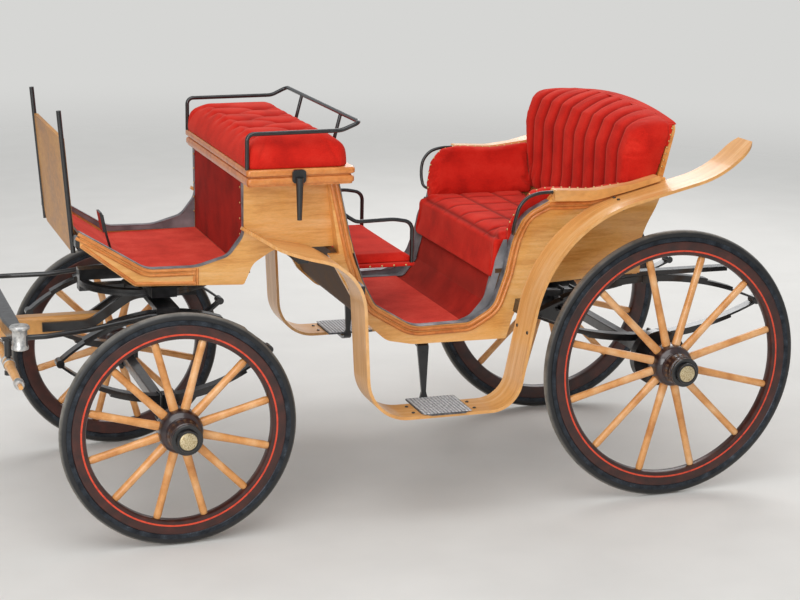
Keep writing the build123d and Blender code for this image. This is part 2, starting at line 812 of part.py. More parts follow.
# plan view: along the box, past the body's front corner, then at an even width to the rounded tail
fender_plan = [
    (285, box_half), (545, box_half), (608, body_half + 6), (700, fender_inner_y),
    (2292, fender_inner_y), (2292, fender_outer_y), (450, fender_outer_y), (285, box_half + 12),
]
fender_plan_radii = [2, 60, 60, 60, 60, 60, 160, 2]


def fender_section():
    """Side view of a mudguard strip, set off upwards and forwards from its underside."""
    band(fender_path, fender_radii, fender_thickness)


with BuildPart() as fenders:
    with BuildSketch(side_plane(fender_outer_y)):
        fender_section()
    extrude(amount=fender_outer_y - box_half)
    with BuildSketch(top_plane(0)):
        with BuildLine():
            FilletPolyline(*fender_plan, radius=fender_plan_radii, close=True)
        make_face()
    extrude(amount=box_top + 200, mode=Mode.INTERSECT)
    mirror(about=Plane.XZ)
save("fenders", fenders)

tread_outer_y = fender_outer_y + 10
with BuildPart() as step_treads:
    with BuildSketch(top_plane(step_top_z)) as tread:
        with Locations((step_x, tread_outer_y - step_tread_width / 2)):
            Rectangle(step_length, step_tread_width)
        chamfer(tread.vertices().group_by(Axis.Y)[-1], 32)
    extrude(amount=step_tread_thickness)
    mirror(about=Plane.XZ)
save("step_treads", step_treads)


# Ironwork that carries the steps, the mudguards and the driver's seat

stay_thickness = 12.0
stay_x = step_x - 20
body_underside = 664.0
# height and half width of a step's stay along the carriage
step_stay_taper = [(720, 23), (650, 23), (475, 9), (445, 17), (420, 17)]
with BuildPart() as step_stays:
    with BuildSketch(cross_plane(stay_x - 40)):
        band([(650, step_underside), (508, step_underside), (484, body_underside), (456, body_underside),
              (438, well_underside), (330, well_underside)], [24, 16, 12, 16], stay_thickness)
    extrude(amount=80)
    with BuildSketch(side_plane(660)):
        with BuildLine():
            Polyline(*[(stay_x + half, z) for z, half in step_stay_taper],
                     *[(stay_x - half, z) for z, half in reversed(step_stay_taper)], close=True)
        make_face()
    extrude(amount=400, mode=Mode.INTERSECT)
    mirror(about=Plane.XZ)
save("step_stays", step_stays)

# x, z, length along x, height and the inner end's distance from the middle of each mudguard bracket
fender_brackets_table = [
    (470, 1066, 40, 30, box_half),
    (699, 925, 26, 50, body_half),
    (1390, 800, 30, 50, body_half),
    (1750, 1206, 40, 32, body_half + body_flare * 2 / 3),
]
with BuildPart() as fender_brackets:
    for x, z, length, height, inner_y in fender_brackets_table:
        with BuildSketch(side_plane(fender_inner_y + 80)):
            with Locations((x, z)):
                Rectangle(length, height)
        extrude(amount=fender_inner_y + 80 - inner_y)
    with BuildSketch(side_plane(fender_outer_y)):
        fender_section()
    extrude(amount=fender_outer_y - box_half, mode=Mode.SUBTRACT)
    with BuildSketch(cross_plane(body_front_x)):
        flared_wall(body_inner, body_board)
    extrude(amount=body_length, mode=Mode.SUBTRACT)
    mirror(about=Plane.XZ)
save("fender_brackets", fender_brackets)

# Lamp sockets: a plate screwed to the seat moulding with a tapered tube below it
socket_x = 483.0
socket_length = 190.0
socket_radius = 15.0
with BuildPart() as seat_brackets:
    with BuildSketch(side_plane(seat_frame_half + 12)):
        with Locations((socket_x, seat_top_z - 26)):
            RectangleRounded(52, 52, 14)
    extrude(amount=12)
    with BuildSketch(top_plane(seat_top_z - socket_length)):
        with Locations((socket_x, seat_frame_half + socket_radius + 1)):
            Circle(socket_radius * 0.6)
    with BuildSketch(top_plane(seat_top_z - 30)):
        with Locations((socket_x, seat_frame_half + socket_radius + 1)):
            Circle(socket_radius)
    loft()
    mirror(about=Plane.XZ)
save("seat_brackets", seat_brackets)

with BuildPart() as rear_irons:
    with BuildSketch(side_plane(spring_y + spring_width / 2)):
        with Locations((1460, rear_iron_z)):
            Rectangle(900, rear_iron_thickness, align=(Align.MIN, Align.MIN))
    extrude(amount=spring_width)
    mirror(about=Plane.XZ)
save("rear_irons", rear_irons)

with BuildPart() as front_sills:
    with BuildSketch(side_plane(330 + 25)):
        with Locations((-86, body_bottom_z)):
            Rectangle(376, front_floor_z - floor_board - body_bottom_z, align=(Align.MIN, Align.MIN))
    extrude(amount=50)
    mirror(about=Plane.XZ)
save("front_sills", front_sills)


# Driver's seat rail, and the child's seat that hangs behind the box

rail_y = 500.0
rail_foot_z = seat_top_z
with BuildPart() as seat_rail:
    with BuildLine() as rail_line:
        FilletPolyline(
            place(292, rail_y, rail_foot_z), place(292, rail_y, 1516), place(655, rail_y, 1520),
            place(724, rail_y + 8, 1550), place(724, -rail_y - 8, 1550), place(655, -rail_y, 1520),
            place(292, -rail_y, 1516), place(292, -rail_y, rail_foot_z), radius=[25, 80, 20, 20, 80, 25])
    with BuildSketch(Plane(rail_line.line @ 0, z_dir=rail_line.line % 0)):
        Circle(rail_radius)
    sweep(path=rail_line.line)
    for y in (-270, 270):
        with BuildLine() as post_line:
            FilletPolyline(place(690, y, rail_foot_z), place(690, y, rail_foot_z + 40), place(722, y, 1548),
                           radius=60)
        with BuildSketch(Plane(post_line.line @ 0, z_dir=post_line.line % 0)):
            Circle(rail_radius - 1)
        sweep(path=post_line.line)
save("seat_rail", seat_rail)

child_board_z = 944.0
child_board = 13.0
child_pad = 28.0
child_rear_x = 1020.0
child_half = 334.0
with BuildPart() as child_seat:
    with BuildSketch(side_plane(child_half)):
        with BuildLine():
            Polyline((700.4, child_board_z + child_board), (child_rear_x, child_board_z + child_board),
                     (child_rear_x, child_board_z), (707.4, child_board_z), close=True)
        make_face()
    extrude(amount=2 * child_half)
save("child_seat", child_seat)

with BuildPart() as child_cushion:
    with BuildSketch(top_plane(child_board_z + child_board + fit_gap)):
        with Locations(((702 + child_rear_x) / 2, 0)):
            RectangleRounded(child_rear_x - 702, 2 * (child_half - 22), 20)
    extrude(amount=child_pad)
    fillet(child_cushion.edges().group_by(Axis.Z)[-1], 12)
save("child_cushion", child_cushion)

child_rail_y = child_half - 12
child_rail_x = child_rear_x - 14
with BuildPart() as child_rails:
    with BuildLine() as rail_line:
        FilletPolyline(
            place(694, child_rail_y, box_top), place(694, child_rail_y, box_top - 30),
            place(716, child_rail_y, 1168),
            place(775, child_rail_y, 1130), place(930, child_rail_y, 1134),
            place(child_rail_x, child_rail_y, 1120),
            place(child_rail_x, child_rail_y, child_board_z + child_board), radius=[60, 30, 60, 200, 40])
    with BuildSketch(Plane(rail_line.line @ 0, z_dir=rail_line.line % 0)):
        Circle(rail_radius)
    sweep(path=rail_line.line)
    mirror(about=Plane.XZ)
save("child_rails", child_rails)
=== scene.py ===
import math
import bpy
import numpy as np
from mathutils import Matrix, Vector


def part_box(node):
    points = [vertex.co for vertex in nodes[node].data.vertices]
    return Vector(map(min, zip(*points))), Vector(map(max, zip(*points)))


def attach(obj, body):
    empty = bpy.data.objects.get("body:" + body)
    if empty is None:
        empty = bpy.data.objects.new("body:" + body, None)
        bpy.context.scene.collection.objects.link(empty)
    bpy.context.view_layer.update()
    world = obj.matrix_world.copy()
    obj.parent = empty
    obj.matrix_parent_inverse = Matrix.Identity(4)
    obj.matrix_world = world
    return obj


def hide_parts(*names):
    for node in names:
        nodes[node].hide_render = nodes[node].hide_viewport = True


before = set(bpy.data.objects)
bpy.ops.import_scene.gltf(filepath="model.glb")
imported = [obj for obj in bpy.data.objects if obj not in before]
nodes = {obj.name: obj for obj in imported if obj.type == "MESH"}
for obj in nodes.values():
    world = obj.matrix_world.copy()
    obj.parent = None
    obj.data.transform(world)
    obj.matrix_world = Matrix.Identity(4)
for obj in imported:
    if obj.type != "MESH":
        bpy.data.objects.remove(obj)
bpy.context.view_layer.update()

bpy.ops.object.select_all(action="DESELECT")


# VIEWPOINT
# The photographer stands to the left of the front wheel, a little above the seats, and looks
# down and to the rear with a long lens.
eye = Vector((-1.322, -7.162, 2.592))
turn_right, look_down, head_tilt = 0.3348, 0.2419, 0.0194
bpy.ops.object.camera_add()
camera = bpy.context.object
camera.data.lens = 84.6
camera.data.sensor_width = 36.0
camera.data.clip_end = 200.0
camera.matrix_world = (Matrix.Translation(eye) @ Matrix.Rotation(-turn_right, 4, "Z")
                       @ Matrix.Rotation(math.pi / 2 - look_down, 4, "X")
                       @ Matrix.Rotation(head_tilt, 4, "Z"))
bpy.context.scene.camera = camera


# FLOOR AND LIGHT
# A wide pale floor, a large soft lamp overhead, one low on the photographer's side, a weaker one
# behind, and an even sky, as on the bright overcast day of the photograph.
def to_linear(code):
    """Linear colour of an sRGB hex value."""
    parts = [int(code[i:i + 2], 16) / 255 for i in (1, 3, 5)]
    return tuple(c / 12.92 if c <= 0.04045 else ((c + 0.055) / 1.055) ** 2.4 for c in parts) + (1.0,)


def add_node(tree, kind, settings=None, links=None):
    """A node with its settings, and its links as input: (node, output)."""
    made = tree.nodes.new(kind)
    for key, value in (settings or {}).items():
        if isinstance(key, int) or key in made.inputs:
            made.inputs[key].default_value = value
        else:
            setattr(made, key, value)
    for key, (source, output) in (links or {}).items():
        tree.links.new(source.outputs[output], made.inputs[key])
    return made


def noise(tree, where, size_mm, detail, **settings):
    """Noise with blotches size_mm across."""
    settings.update(Scale=1000 / size_mm, Detail=detail)
    return add_node(tree, "ShaderNodeTexNoise", settings, {"Vector": where}), "Fac"


def ramp(tree, source, stops):
    """Colours for a value; stops are (value, hex)."""
    made = add_node(tree, "ShaderNodeValToRGB", links={"Fac": source})
    elements = made.color_ramp.elements
    while len(elements) < len(stops):
        elements.new(0.5)
    for element, (value, code) in zip(elements, stops):
        element.position = value
        element.color = to_linear(code)
    return made, "Color"


def spread(tree, source, low, high, source_low=0.0, source_high=1.0):
    """A value stretched to run from low to high."""
    ends = {"From Min": source_low, "From Max": source_high, "To Min": low, "To Max": high}
    return add_node(tree, "ShaderNodeMapRange", ends, {"Value": source}), "Result"


def multiplied(tree, colour, by):
    """A colour multiplied by a value or by a second colour."""
    settings = {"data_type": "RGBA", "blend_type": "MULTIPLY", 0: 1.0}
    return add_node(tree, "ShaderNodeMix", settings, {6: colour, 7: by}), 2


def new_material(name, **shader_settings):
    """A material of that name: gives it, its tree, its shader and the place on the object."""
    material = bpy.data.materials.new(name)
    material.use_nodes = True
    tree = material.node_tree
    shader = tree.nodes["Principled BSDF"]
    for key, value in shader_settings.items():
        shader.inputs[key.replace("_", " ")].default_value = value
    return material, tree, shader, (add_node(tree, "ShaderNodeTexCoord"), "Object")


def finish_surface(tree, shader, colour, sheen=None, height=None, relief_mm=0.3, strength=1.0):
    """Links a colour, a roughness and a height, each a (node, output), to the shader."""
    bump = None
    if height:
        raised = {"Distance": relief_mm / 1000, "Strength": strength}
        bump = (add_node(tree, "ShaderNodeBump", raised, {"Height": height}), "Normal")
    for source, socket in ((colour, "Base Color"), (sheen, "Roughness"), (bump, "Normal")):
        if source:
            tree.links.new(source[0].outputs[source[1]], shader.inputs[socket])


def mottled(name, size_mm, detail, stops, relief_mm=None, sheen=None, grain=None, contrast=0.5,
            **shader_settings):
    """A material in blotches size_mm across, which also set its roughness and its relief.

    sheen is the roughness at both ends; grain is (size_mm, detail) of a finer relief.
    """
    material, tree, shader, where = new_material(name, **shader_settings)
    blotches = noise(tree, where, size_mm, detail, Roughness=contrast)
    height = noise(tree, where, *grain) if grain else blotches
    finish_surface(tree, shader, ramp(tree, blotches, stops), sheen and spread(tree, blotches, *sheen),
                   relief_mm and height, relief_mm)
    return material


bpy.ops.mesh.primitive_grid_add(x_subdivisions=8, y_subdivisions=8, size=160)
floor = bpy.context.object
floor.name = "studio_floor"
# Matt pale floor paint: even, with a barely seen mottling a third of a metre across.
floor_paint, tree, shader, where = new_material("Matt floor paint, rolled", Roughness=0.85)
mottling = noise(tree, where, 1000 / 3, 3.0)
finish_surface(tree, shader, ramp(tree, mottling, [(0.35, "#DEDCD8"), (0.65, "#E2E0DC")]))
# far from the carriage the camera sees through the floor to the pale backdrop
distance = add_node(tree, "ShaderNodeVectorMath", {"operation": "LENGTH"}, {0: where})
faded = add_node(tree, "ShaderNodeMapRange",
                 {"interpolation_type": "SMOOTHSTEP", "From Min": 4.0, "From Max": 13.0},
                 {"Value": (distance, "Value")})
seen_by = add_node(tree, "ShaderNodeLightPath")
share = add_node(tree, "ShaderNodeMath", {"operation": "MULTIPLY"},
                 {0: (faded, "Result"), 1: (seen_by, "Is Camera Ray")})
see_through = add_node(tree, "ShaderNodeBsdfTransparent")
fading = add_node(tree, "ShaderNodeMixShader", links={0: (share, 0), 1: (shader, 0), 2: (see_through, 0)})
tree.links.new(fading.outputs[0], tree.nodes["Material Output"].inputs["Surface"])
floor.data.materials.append(floor_paint)

# lamp, place, size in metres, power in watts
for lamp_name, place, size, power in (
        ("overhead_softbox", (-1.0, -3.0, 6.5), 6.0, 235),
        ("side_softbox", (-4.5, -8.0, 3.4), 5.0, 340),
        ("rear_softbox", (4.5, 4.5, 5.0), 5.0, 230)):
    bpy.ops.object.light_add(type="AREA", location=place)
    lamp = bpy.context.object
    lamp.name = lamp_name
    lamp.data.size = size
    lamp.data.energy = power
    lamp.rotation_euler = (Vector((0.5, 0, 0.9)) - Vector(place)).to_track_quat("-Z", "Y").to_euler()
    lamp.visible_camera = False
world = bpy.data.worlds.new("Even sky")
bpy.context.scene.world = world
world.use_nodes = True
tree = world.node_tree
sky = tree.nodes["Background"]
sky.inputs["Color"].default_value = to_linear("#E4E6E8")
sky.inputs["Strength"].default_value = 0.58
# the camera alone sees the sky as pale as the floor
backdrop = add_node(tree, "ShaderNodeBackground", {"Color": to_linear("#D6D6D4"), "Strength": 1.0})
seen_by = add_node(tree, "ShaderNodeLightPath")
chosen = add_node(tree, "ShaderNodeMixShader",
                  links={0: (seen_by, "Is Camera Ray"), 1: (sky, 0), 2: (backdrop, 0)})
tree.links.new(chosen.outputs[0], tree.nodes["World Output"].inputs["Surface"])
bpy.context.scene.view_settings.view_transform = "Standard"


# WHEELS: TYRES
# Solid black rubber pressed into a steel channel on the rim. The moulded section is a rounded D,
# dark on its sides, with its crown pale grey all round: partly road dust, partly a painted highlight.
def edit_all():
    """Enters edit mode with everything selected."""
    bpy.ops.object.mode_set(mode="EDIT")
    bpy.ops.mesh.select_all(action="SELECT")


def leave_edit():
    bpy.ops.object.mode_set(mode="OBJECT")


def extrude(way):
    """Extrudes what is selected by way, in metres."""
    bpy.ops.mesh.extrude_region_move(TRANSFORM_OT_translate={"value": way})


def started(name, primitive, **settings):
    """A new piece of that name from a mesh primitive, at its place in the mesh itself."""
    bpy.ops.object.select_all(action="DESELECT")
    primitive(**settings)
    piece = bpy.context.object
    piece.name = piece.data.name = name
    bpy.ops.object.transform_apply(location=True, rotation=True, scale=True)
    return piece


def draw_line(name, points, closed=False, radii=None):
    """A chain of edges through points, left in edit mode; radii rounds its corners."""
    drawn = started(name, bpy.ops.mesh.primitive_plane_add, size=0.01)
    edit_all()
    bpy.ops.mesh.merge(type="CENTER")
    bpy.ops.transform.translate(value=points[0])
    for start, end in zip(points, points[1:]):
        bpy.ops.mesh.extrude_vertices_move(TRANSFORM_OT_translate={"value": Vector(end) - Vector(start)})
    if closed:
        select_near(drawn, [points[0], points[-1]])
        bpy.ops.mesh.edge_face_add()
    for i, radius in enumerate(radii or []):
        corner = i if closed else i + 1
        if not radius:
            continue
        here = Vector(points[corner])
        before = (Vector(points[corner - 1]) - here).normalized()
        after = (Vector(points[(corner + 1) % len(points)]) - here).normalized()
        turning = math.pi - before.angle(after)
        select_near(drawn, [here])
        bpy.ops.mesh.bevel(affect="VERTICES", offset=radius * math.tan(turning / 2),
                           segments=max(3, int(turning * 12)))
    bpy.ops.mesh.select_all(action="SELECT")
    return drawn


def select_near(piece, places):
    """Selects only the vertices of the piece in edit mode that stand at one of the places."""
    bpy.ops.mesh.select_all(action="DESELECT")
    leave_edit()
    for vertex in piece.data.vertices:
        vertex.select = any((vertex.co - Vector(p)).length < 1e-5 for p in places)
    bpy.ops.object.mode_set(mode="EDIT")
    bpy.ops.mesh.select_mode(type="VERT")


def merge_doubles():
    """Merges doubles of what is in edit mode and turns its faces outwards."""
    bpy.ops.mesh.remove_doubles(threshold=1e-5)
    bpy.ops.mesh.normals_make_consistent(inside=False)


def close_up(piece, smooth_degrees=35):
    """Merges doubles, turns faces outwards, leaves edit mode and smooths up to an angle."""
    edit_all()
    merge_doubles()
    leave_edit()
    bpy.ops.object.shade_smooth_by_angle(angle=math.radians(smooth_degrees))
    return piece


def turned(name, profile, centre, axis="Y", facing=1, steps=48, smooth_degrees=35):
    """A lathe-turned piece: profile is (radius, place along the axis) in mm."""
    c = Vector(centre)
    along = Vector((0, 1, 0) if axis == "Y" else (0, 0, 1))
    points = [c + Vector((r, 0, 0)) / 1000 + along * facing * a / 1000 for r, a in profile]
    piece = draw_line(name, points, closed=profile[0][0] > 0)
    bpy.ops.mesh.spin(steps=steps, angle=2 * math.pi, center=c, axis=along, use_auto_merge=True)
    return close_up(piece, smooth_degrees)


def symmetric(half):
    """A section from its one half, a list of (radius, place across the wheel)."""
    return half + [(r, -a) for r, a in reversed(half)]


def hand_over(piece, material, body, replaced=()):
    """Gives a finished piece its finish and its moving body, and hides the nodes that it stands for."""
    piece.data.materials.clear()
    piece.data.materials.append(material)
    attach(piece, body)
    if replaced:
        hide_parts(*replaced)


def copied(piece, name, change=Matrix()):
    """A copy with its own mesh, changed by a matrix."""
    twin = piece.copy()
    twin.data = piece.data.copy()
    twin.name = twin.data.name = name
    twin.parent = None
    bpy.context.scene.collection.objects.link(twin)
    twin.data.transform(change)
    return twin


def both_wheels(piece, axle, label, material, node=None):
    """Fixes a left wheel's piece, and a copy turned half round on the right wheel."""
    half_turn = (Matrix.Translation(hubs[axle, "right"]) @ Matrix.Rotation(math.pi, 4, "Z")
                 @ Matrix.Translation(-hubs[axle, "left"]))
    twin = copied(piece, f"{axle}_right_{label}", half_turn)
    for side, each in (("left", piece), ("right", twin)):
        hand_over(each, material, f"{axle}_{side}_wheel_body", [f"{axle}_{side}_{node}"] if node else ())


# Moulded solid rubber: black and slightly shiny on its sides, its crown pale grey, partly road dust
# and partly a painted highlight, which an attribute gives, in streaks some 60 mm across.
tyre_rubber, tree, shader, where = new_material("Solid tyre rubber, moulded", IOR=1.52)
dust = noise(tree, where, 60, 6.0, Roughness=0.65)
side_colour = ramp(tree, dust, [(0.35, "#18181A"), (0.62, "#222223"), (0.85, "#35322E")])
# the crown's pale grey is road dust and a painted highlight in one
crown_dust_and_highlight_colour = ramp(tree, dust, [(0.30, "#5C5954"), (0.50, "#7C7871"), (0.75, "#9A958C")])
crown = add_node(tree, "ShaderNodeAttribute", {"attribute_name": "crown"})
dust_and_highlight_colour = add_node(tree, "ShaderNodeMix", {"data_type": "RGBA"},
                 {0: (crown, "Fac"), 6: side_colour, 7: crown_dust_and_highlight_colour})
finish_surface(tree, shader, (dust_and_highlight_colour, 2), spread(tree, dust, 0.30, 0.62), noise(tree, where, 3, 2.0),
               relief_mm=0.15)

tyre_depth, pale_crown_depth = 34, 9
# radius measured in from the tread and place across the tyre, mm
tyre_section = symmetric([(-tyre_depth, -17), (-27, -18), (-19, -19), (-10, -17.5), (-4, -12.5), (0, -4.5)])
hubs, tyre_radius = {}, {}
for axle in ("front", "rear"):
    for side in ("left", "right"):
        low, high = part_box(f"{axle}_{side}_tyre")
        hubs[axle, side] = (low + high) / 2
        tyre_radius[axle] = (high.z - low.z) / 2
for axle, radius in tyre_radius.items():
    tyre = turned(f"{axle}_left_solid_tyre", [(radius * 1000 + r, y) for r, y in tyre_section],
                  hubs[axle, "left"], steps=120, smooth_degrees=50)
    from_hub = [vertex.co - hubs[axle, "left"] for vertex in tyre.data.vertices]
    depths = [(radius - math.hypot(v.x, v.z)) * 1000 for v in from_hub]
    # the attribute marks the pale crown: road dust and painted highlight
    rubbed = tyre.data.attributes.new("crown", "FLOAT", "POINT")
    rubbed.data.foreach_set("value", [max(0.0, 1 - depth / pale_crown_depth) for depth in depths])
    both_wheels(tyre, axle, "solid_tyre", tyre_rubber, "tyre")


# WHEELS: RIMS, SPOKES AND NAVES
# An ash felloe in maroon coach paint with a thin red line, shrunk into a rolled steel channel;
# twelve round varnished spokes driven into a turned nave, and a brass cap screwed in its end.

# Rolled steel with worn black paint: dull blue-grey, paler in blotches 35 mm across.
channel_steel = mottled("Rolled channel steel, worn paint", 35, 7.0,
                        [(0.35, "#23262B"), (0.60, "#3E444C"), (0.78, "#6A727C")],
                        relief_mm=0.2, sheen=(0.22, 0.5), contrast=0.7, Metallic=0.75)
# Brushed coach paint on ash: deep maroon-brown under a full gloss coat, brush marks 2 mm apart.
maroon_paint = mottled("Maroon coach paint, brushed", 50, 4.0,
                       [(0.35, "#2C100A"), (0.60, "#42190F"), (0.80, "#58241A")],
                       relief_mm=0.06, grain=(2, 2.0), Roughness=0.4, Coat_Weight=0.3, Coat_Roughness=0.15)
# Signwriter's enamel drawn with a lining brush: flat bright red with thin places 20 mm long.
lining_paint = mottled("Red lining enamel, hand drawn", 20, 3.0, [(0.30, "#B83420"), (0.50, "#E04A2C")],
                       Roughness=0.4)
# Turned ash under spirit varnish: honey patches, glossy, with fibres 4 mm apart.
spoke_ash, tree, shader, where = new_material(
    "Ash spokes, turned and varnished", Roughness=0.38, Coat_Weight=0.5, Coat_Roughness=0.12)
patches = noise(tree, where, 90, 5.0, Roughness=0.6)
fibre = noise(tree, where, 4, 3.0)
patch_colour = ramp(tree, patches, [(0.30, "#C07A38"), (0.50, "#E09E5C"), (0.72, "#F0BE8A")])
finish_surface(tree, shader, multiplied(tree, patch_colour, spread(tree, fibre, 0.88, 1.08)), None, fibre,
               relief_mm=0.1)
# Dark brown paint over turned elm, polished by handling: nearly black with a plum cast.
nave_paint = mottled("Brown coach paint on elm", 30, 5.0,
                     [(0.35, "#1F1012"), (0.65, "#331B1A"), (0.85, "#4A2C28")],
                     relief_mm=0.2, Roughness=0.3, Coat_Weight=0.8, Coat_Roughness=0.1)
# Cast brass, painted pale cream for the sky's reflection, with brown freckles some 4 mm across.
brass_pale_by_painted_reflection = mottled("Cast brass, tarnished", 4, 5.0, [(0.28, "#8A6A3C"), (0.50, "#CDBB92"), (0.75, "#E6DCC0")],
                    relief_mm=0.08, sheen=(0.5, 0.28), Metallic=0.55)
# Black enamel brushed on wrought iron: glossy, with soft hammer marks 25 mm across.
black_enamel = mottled("Black enamel on wrought iron", 25, 3.0,
                       [(0.35, "#0D0D0E"), (0.70, "#1B1B1D"), (0.88, "#33312F")],
                       relief_mm=0.5, sheen=(0.2, 0.48), Coat_Weight=0.6, Coat_Roughness=0.1)

spokes_per_wheel, channel_height, line_half = 12, 9, 3.2
# radius and place across the wheel, outwards positive, mm
nave_section = [(22.6, -92), (54, -92), (57, -88), (57, -70), (62, -64), (64, -52), (76, -44), (83, -34),
                (84, -20), (84, 24), (82, 36), (76, 46), (67, 52), (63, 56), (63, 62), (60, 66), (58, 74),
                (58, 104), (60, 108), (60, 116), (57, 120), (54, 122), (54, 131), (22.6, 131)]
hoop_section = [(52, 122), (57, 122), (58.5, 125), (58.5, 133), (56, 136), (43, 136), (43, 131), (52, 131)]
ring_section = [(34, 132), (41, 132), (42, 135), (42, 150), (40, 153), (35, 153), (34, 150)]
cap_section = [(0, 157), (14, 156.8), (26, 155), (32.5, 152), (33.5, 148), (33.5, 136), (0, 136)]
# axle, felloe depth and radius of the red line, mm
for axle, felloe_depth, line_radius in (("front", 54, 368), ("rear", 57, 469)):
    hub = hubs[axle, "left"]
    seat = tyre_radius[axle] * 1000 - tyre_depth - channel_height
    inner = seat - felloe_depth
    channel_section = symmetric([(seat + 8.8, 17), (seat + 9, 18.8), (seat + 18, 18.8), (seat + 18, 21.5),
                                 (seat + 2, 21.5), (seat, 20)])
    felloe_section = symmetric([(inner, 13), (inner + 4, 19.5), (inner + 12, 22), (seat - 2, 22),
                                (seat - 0.2, 20)])
    line_inner, line_outer = line_radius - line_half, line_radius + line_half
    line_section = [(line_inner, 22.3), (line_outer, 22.3), (line_outer, 21.6), (line_inner, 21.6)]
    for label, section, steps, finish, node in (
            ("rim_channel", channel_section, 120, channel_steel, None),
            ("felloe", felloe_section, 120, maroon_paint, "wheel"),
            ("lining", line_section, 120, lining_paint, None),
            ("nave", nave_section, 48, nave_paint, None),
            ("nave_hoop", hoop_section, 48, black_enamel, None),
            ("cap_ring", ring_section, 48, black_enamel, None),
            ("brass_cap", cap_section, 48, brass_pale_by_painted_reflection, "hub_cap")):
        piece = turned(f"{axle}_left_{label}", section, hub, facing=-1, steps=steps)
        both_wheels(piece, axle, label, finish, node)
    # radius of the spoke and distance from the hub, mm
    spoke_shape = [(0, 70), (17.5, 76), (17.5, 96), (16, 150), (14.6, inner * 0.6), (14.6, inner * 0.85),
                   (15.2, inner - 12), (13.5, inner - 3), (11, inner + 4), (0, inner + 10)]
    spokes = turned(f"{axle}_left_spokes", spoke_shape, hub, axis="Z", steps=16, smooth_degrees=50)
    edit_all()
    bpy.ops.transform.rotate(value=math.pi / spokes_per_wheel, orient_axis="Y", center_override=hub)
    bpy.ops.mesh.spin(steps=spokes_per_wheel - 1, dupli=True, center=hub, axis=(0, 1, 0),
                      angle=2 * math.pi * (1 - 1 / spokes_per_wheel))
    leave_edit()
    both_wheels(spokes, axle, "spokes", spoke_ash)


# IRONWORK
# Axles, springs, turntable rings, brake drums, stays, brackets and rails are forged or bent from
# bar, bolted up and brushed with black enamel, as the wheels' hoops are.
def finish_nodes(material, *names):
    """Gives CAD nodes a finish; their shape stays as it is."""
    for name in names:
        nodes[name].data.materials.clear()
        nodes[name].data.materials.append(material)


finish_nodes(black_enamel, "front_axle", "rear_axle", "front_springs", "rear_springs", "lower_ring",
             "upper_ring", "futchells", "pole_head", "swingletree_pins", "dash_posts", "seat_rail",
             "seat_brackets", "rear_irons", "step_stays", "fender_brackets", "child_rails", "brake_pedal",
             "bolster", "forecarriage_bed", "splinter_bar", "rear_left_brake_drum", "rear_right_brake_drum")


# WOODWORK
# Sides, dashboard and seat are cut from birch plywood boards and varnished honey-brown; the
# grain runs along the carriage in the sides and across it in the dashboard.
def varnished(name, stretch, tones, figure_mm=70, grain_mm=9, gloss=0.3, coat=0.45):
    """Varnished wood: stretch is small along the grain, tones are dark, middle and light."""
    material, tree, shader, where = new_material(name, Coat_Weight=coat, Coat_Roughness=0.14)
    along = (add_node(tree, "ShaderNodeMapping", {"Scale": stretch}, {"Vector": where}), "Vector")
    figure = noise(tree, along, figure_mm, 4.0, Distortion=1.1)
    grain = noise(tree, along, grain_mm, 5.0, Roughness=0.6)
    flecks = spread(tree, noise(tree, along, 1.6, 2.0), 0.92, 1.02, 0.35, 0.6)
    blend = add_node(tree, "ShaderNodeMix", {"data_type": "FLOAT", 0: 0.42}, {2: figure, 3: grain})
    colour = ramp(tree, (blend, 0), list(zip((0.30, 0.50, 0.72), tones)))
    finish_surface(tree, shader, multiplied(tree, colour, flecks), spread(tree, figure, gloss, gloss + 0.2),
                   grain, relief_mm=0.12)
    return material


# Rotary-cut birch under several coats: broad honey figure, long grain 9 mm apart.
birch_sides = varnished("Birch plywood, honey varnish", (0.12, 1.0, 1.0), ("#CC8638", "#E6A95C", "#F0BE80"))
# The same board with its grain laid across the carriage: the dashboard's cloudy bands.
birch_dash = varnished("Birch plywood, cross grain", (1.0, 0.3, 0.5), ("#8E5A1C", "#BC7E2C", "#D69E4A"),
                       figure_mm=110, coat=0.1)
# The boards of the back and the seats, grain across the carriage, less weathered.
birch_across = varnished("Birch boards, grain across", (1.0, 0.12, 1.0), ("#B86E28", "#DC9648", "#EBB06A"))
# Steam-bent ash laths: a redder varnish, fine straight grain.
bent_ash = varnished("Bent ash moulding, amber varnish", (0.15, 0.6, 0.15), ("#A8521C", "#D2803A", "#E6A05C"),
                     figure_mm=40, grain_mm=5, gloss=0.26)
# Laminated ash strips of the mudguards: pale straw, streaks run along the bend.
mudguard_ash = varnished("Laminated ash, pale varnish", (0.06, 1.0, 0.06), ("#C4823E", "#E2A660", "#F0C694"),
                         figure_mm=60, grain_mm=7, gloss=0.34)
# Oiled softwood under the body, dark brown: partly its stain, partly painted shade for the boards' undersides.
underside_wood = varnished("Brown stained pine", (0.12, 1.0, 0.5), ("#3A2410", "#54361A", "#6A4824"),
                           gloss=0.6, coat=0.0)
finish_nodes(birch_sides, "box_sides", "body_sides", "side_posts")
finish_nodes(birch_across, "back_shell", "box_rear_panel")
finish_nodes(birch_dash, "dashboard")
finish_nodes(mudguard_ash, "arm_rails", "fenders", "pole", "left_swingletree", "right_swingletree")
finish_nodes(underside_wood, "seat_board", "front_floor", "box_floor", "passenger_well", "front_sills",
             "box_front_panel")


# DRIVER'S SEAT FRAME
# A mitred frame of planed mouldings under the cushion: a nosed cap over a deep quirk, and a broad
# rounded band below it that dies into the box, the front and sides alike.
def rectangle(name, middle, half_x, half_y, z, corner):
    """A drawn rectangle with rounded corners, level at height z."""
    corners = [(middle.x + sx * half_x, middle.y + sy * half_y, z)
               for sx, sy in ((-1, -1), (1, -1), (1, 1), (-1, 1))]
    return draw_line(name, corners, closed=True, radii=[corner] * 4)


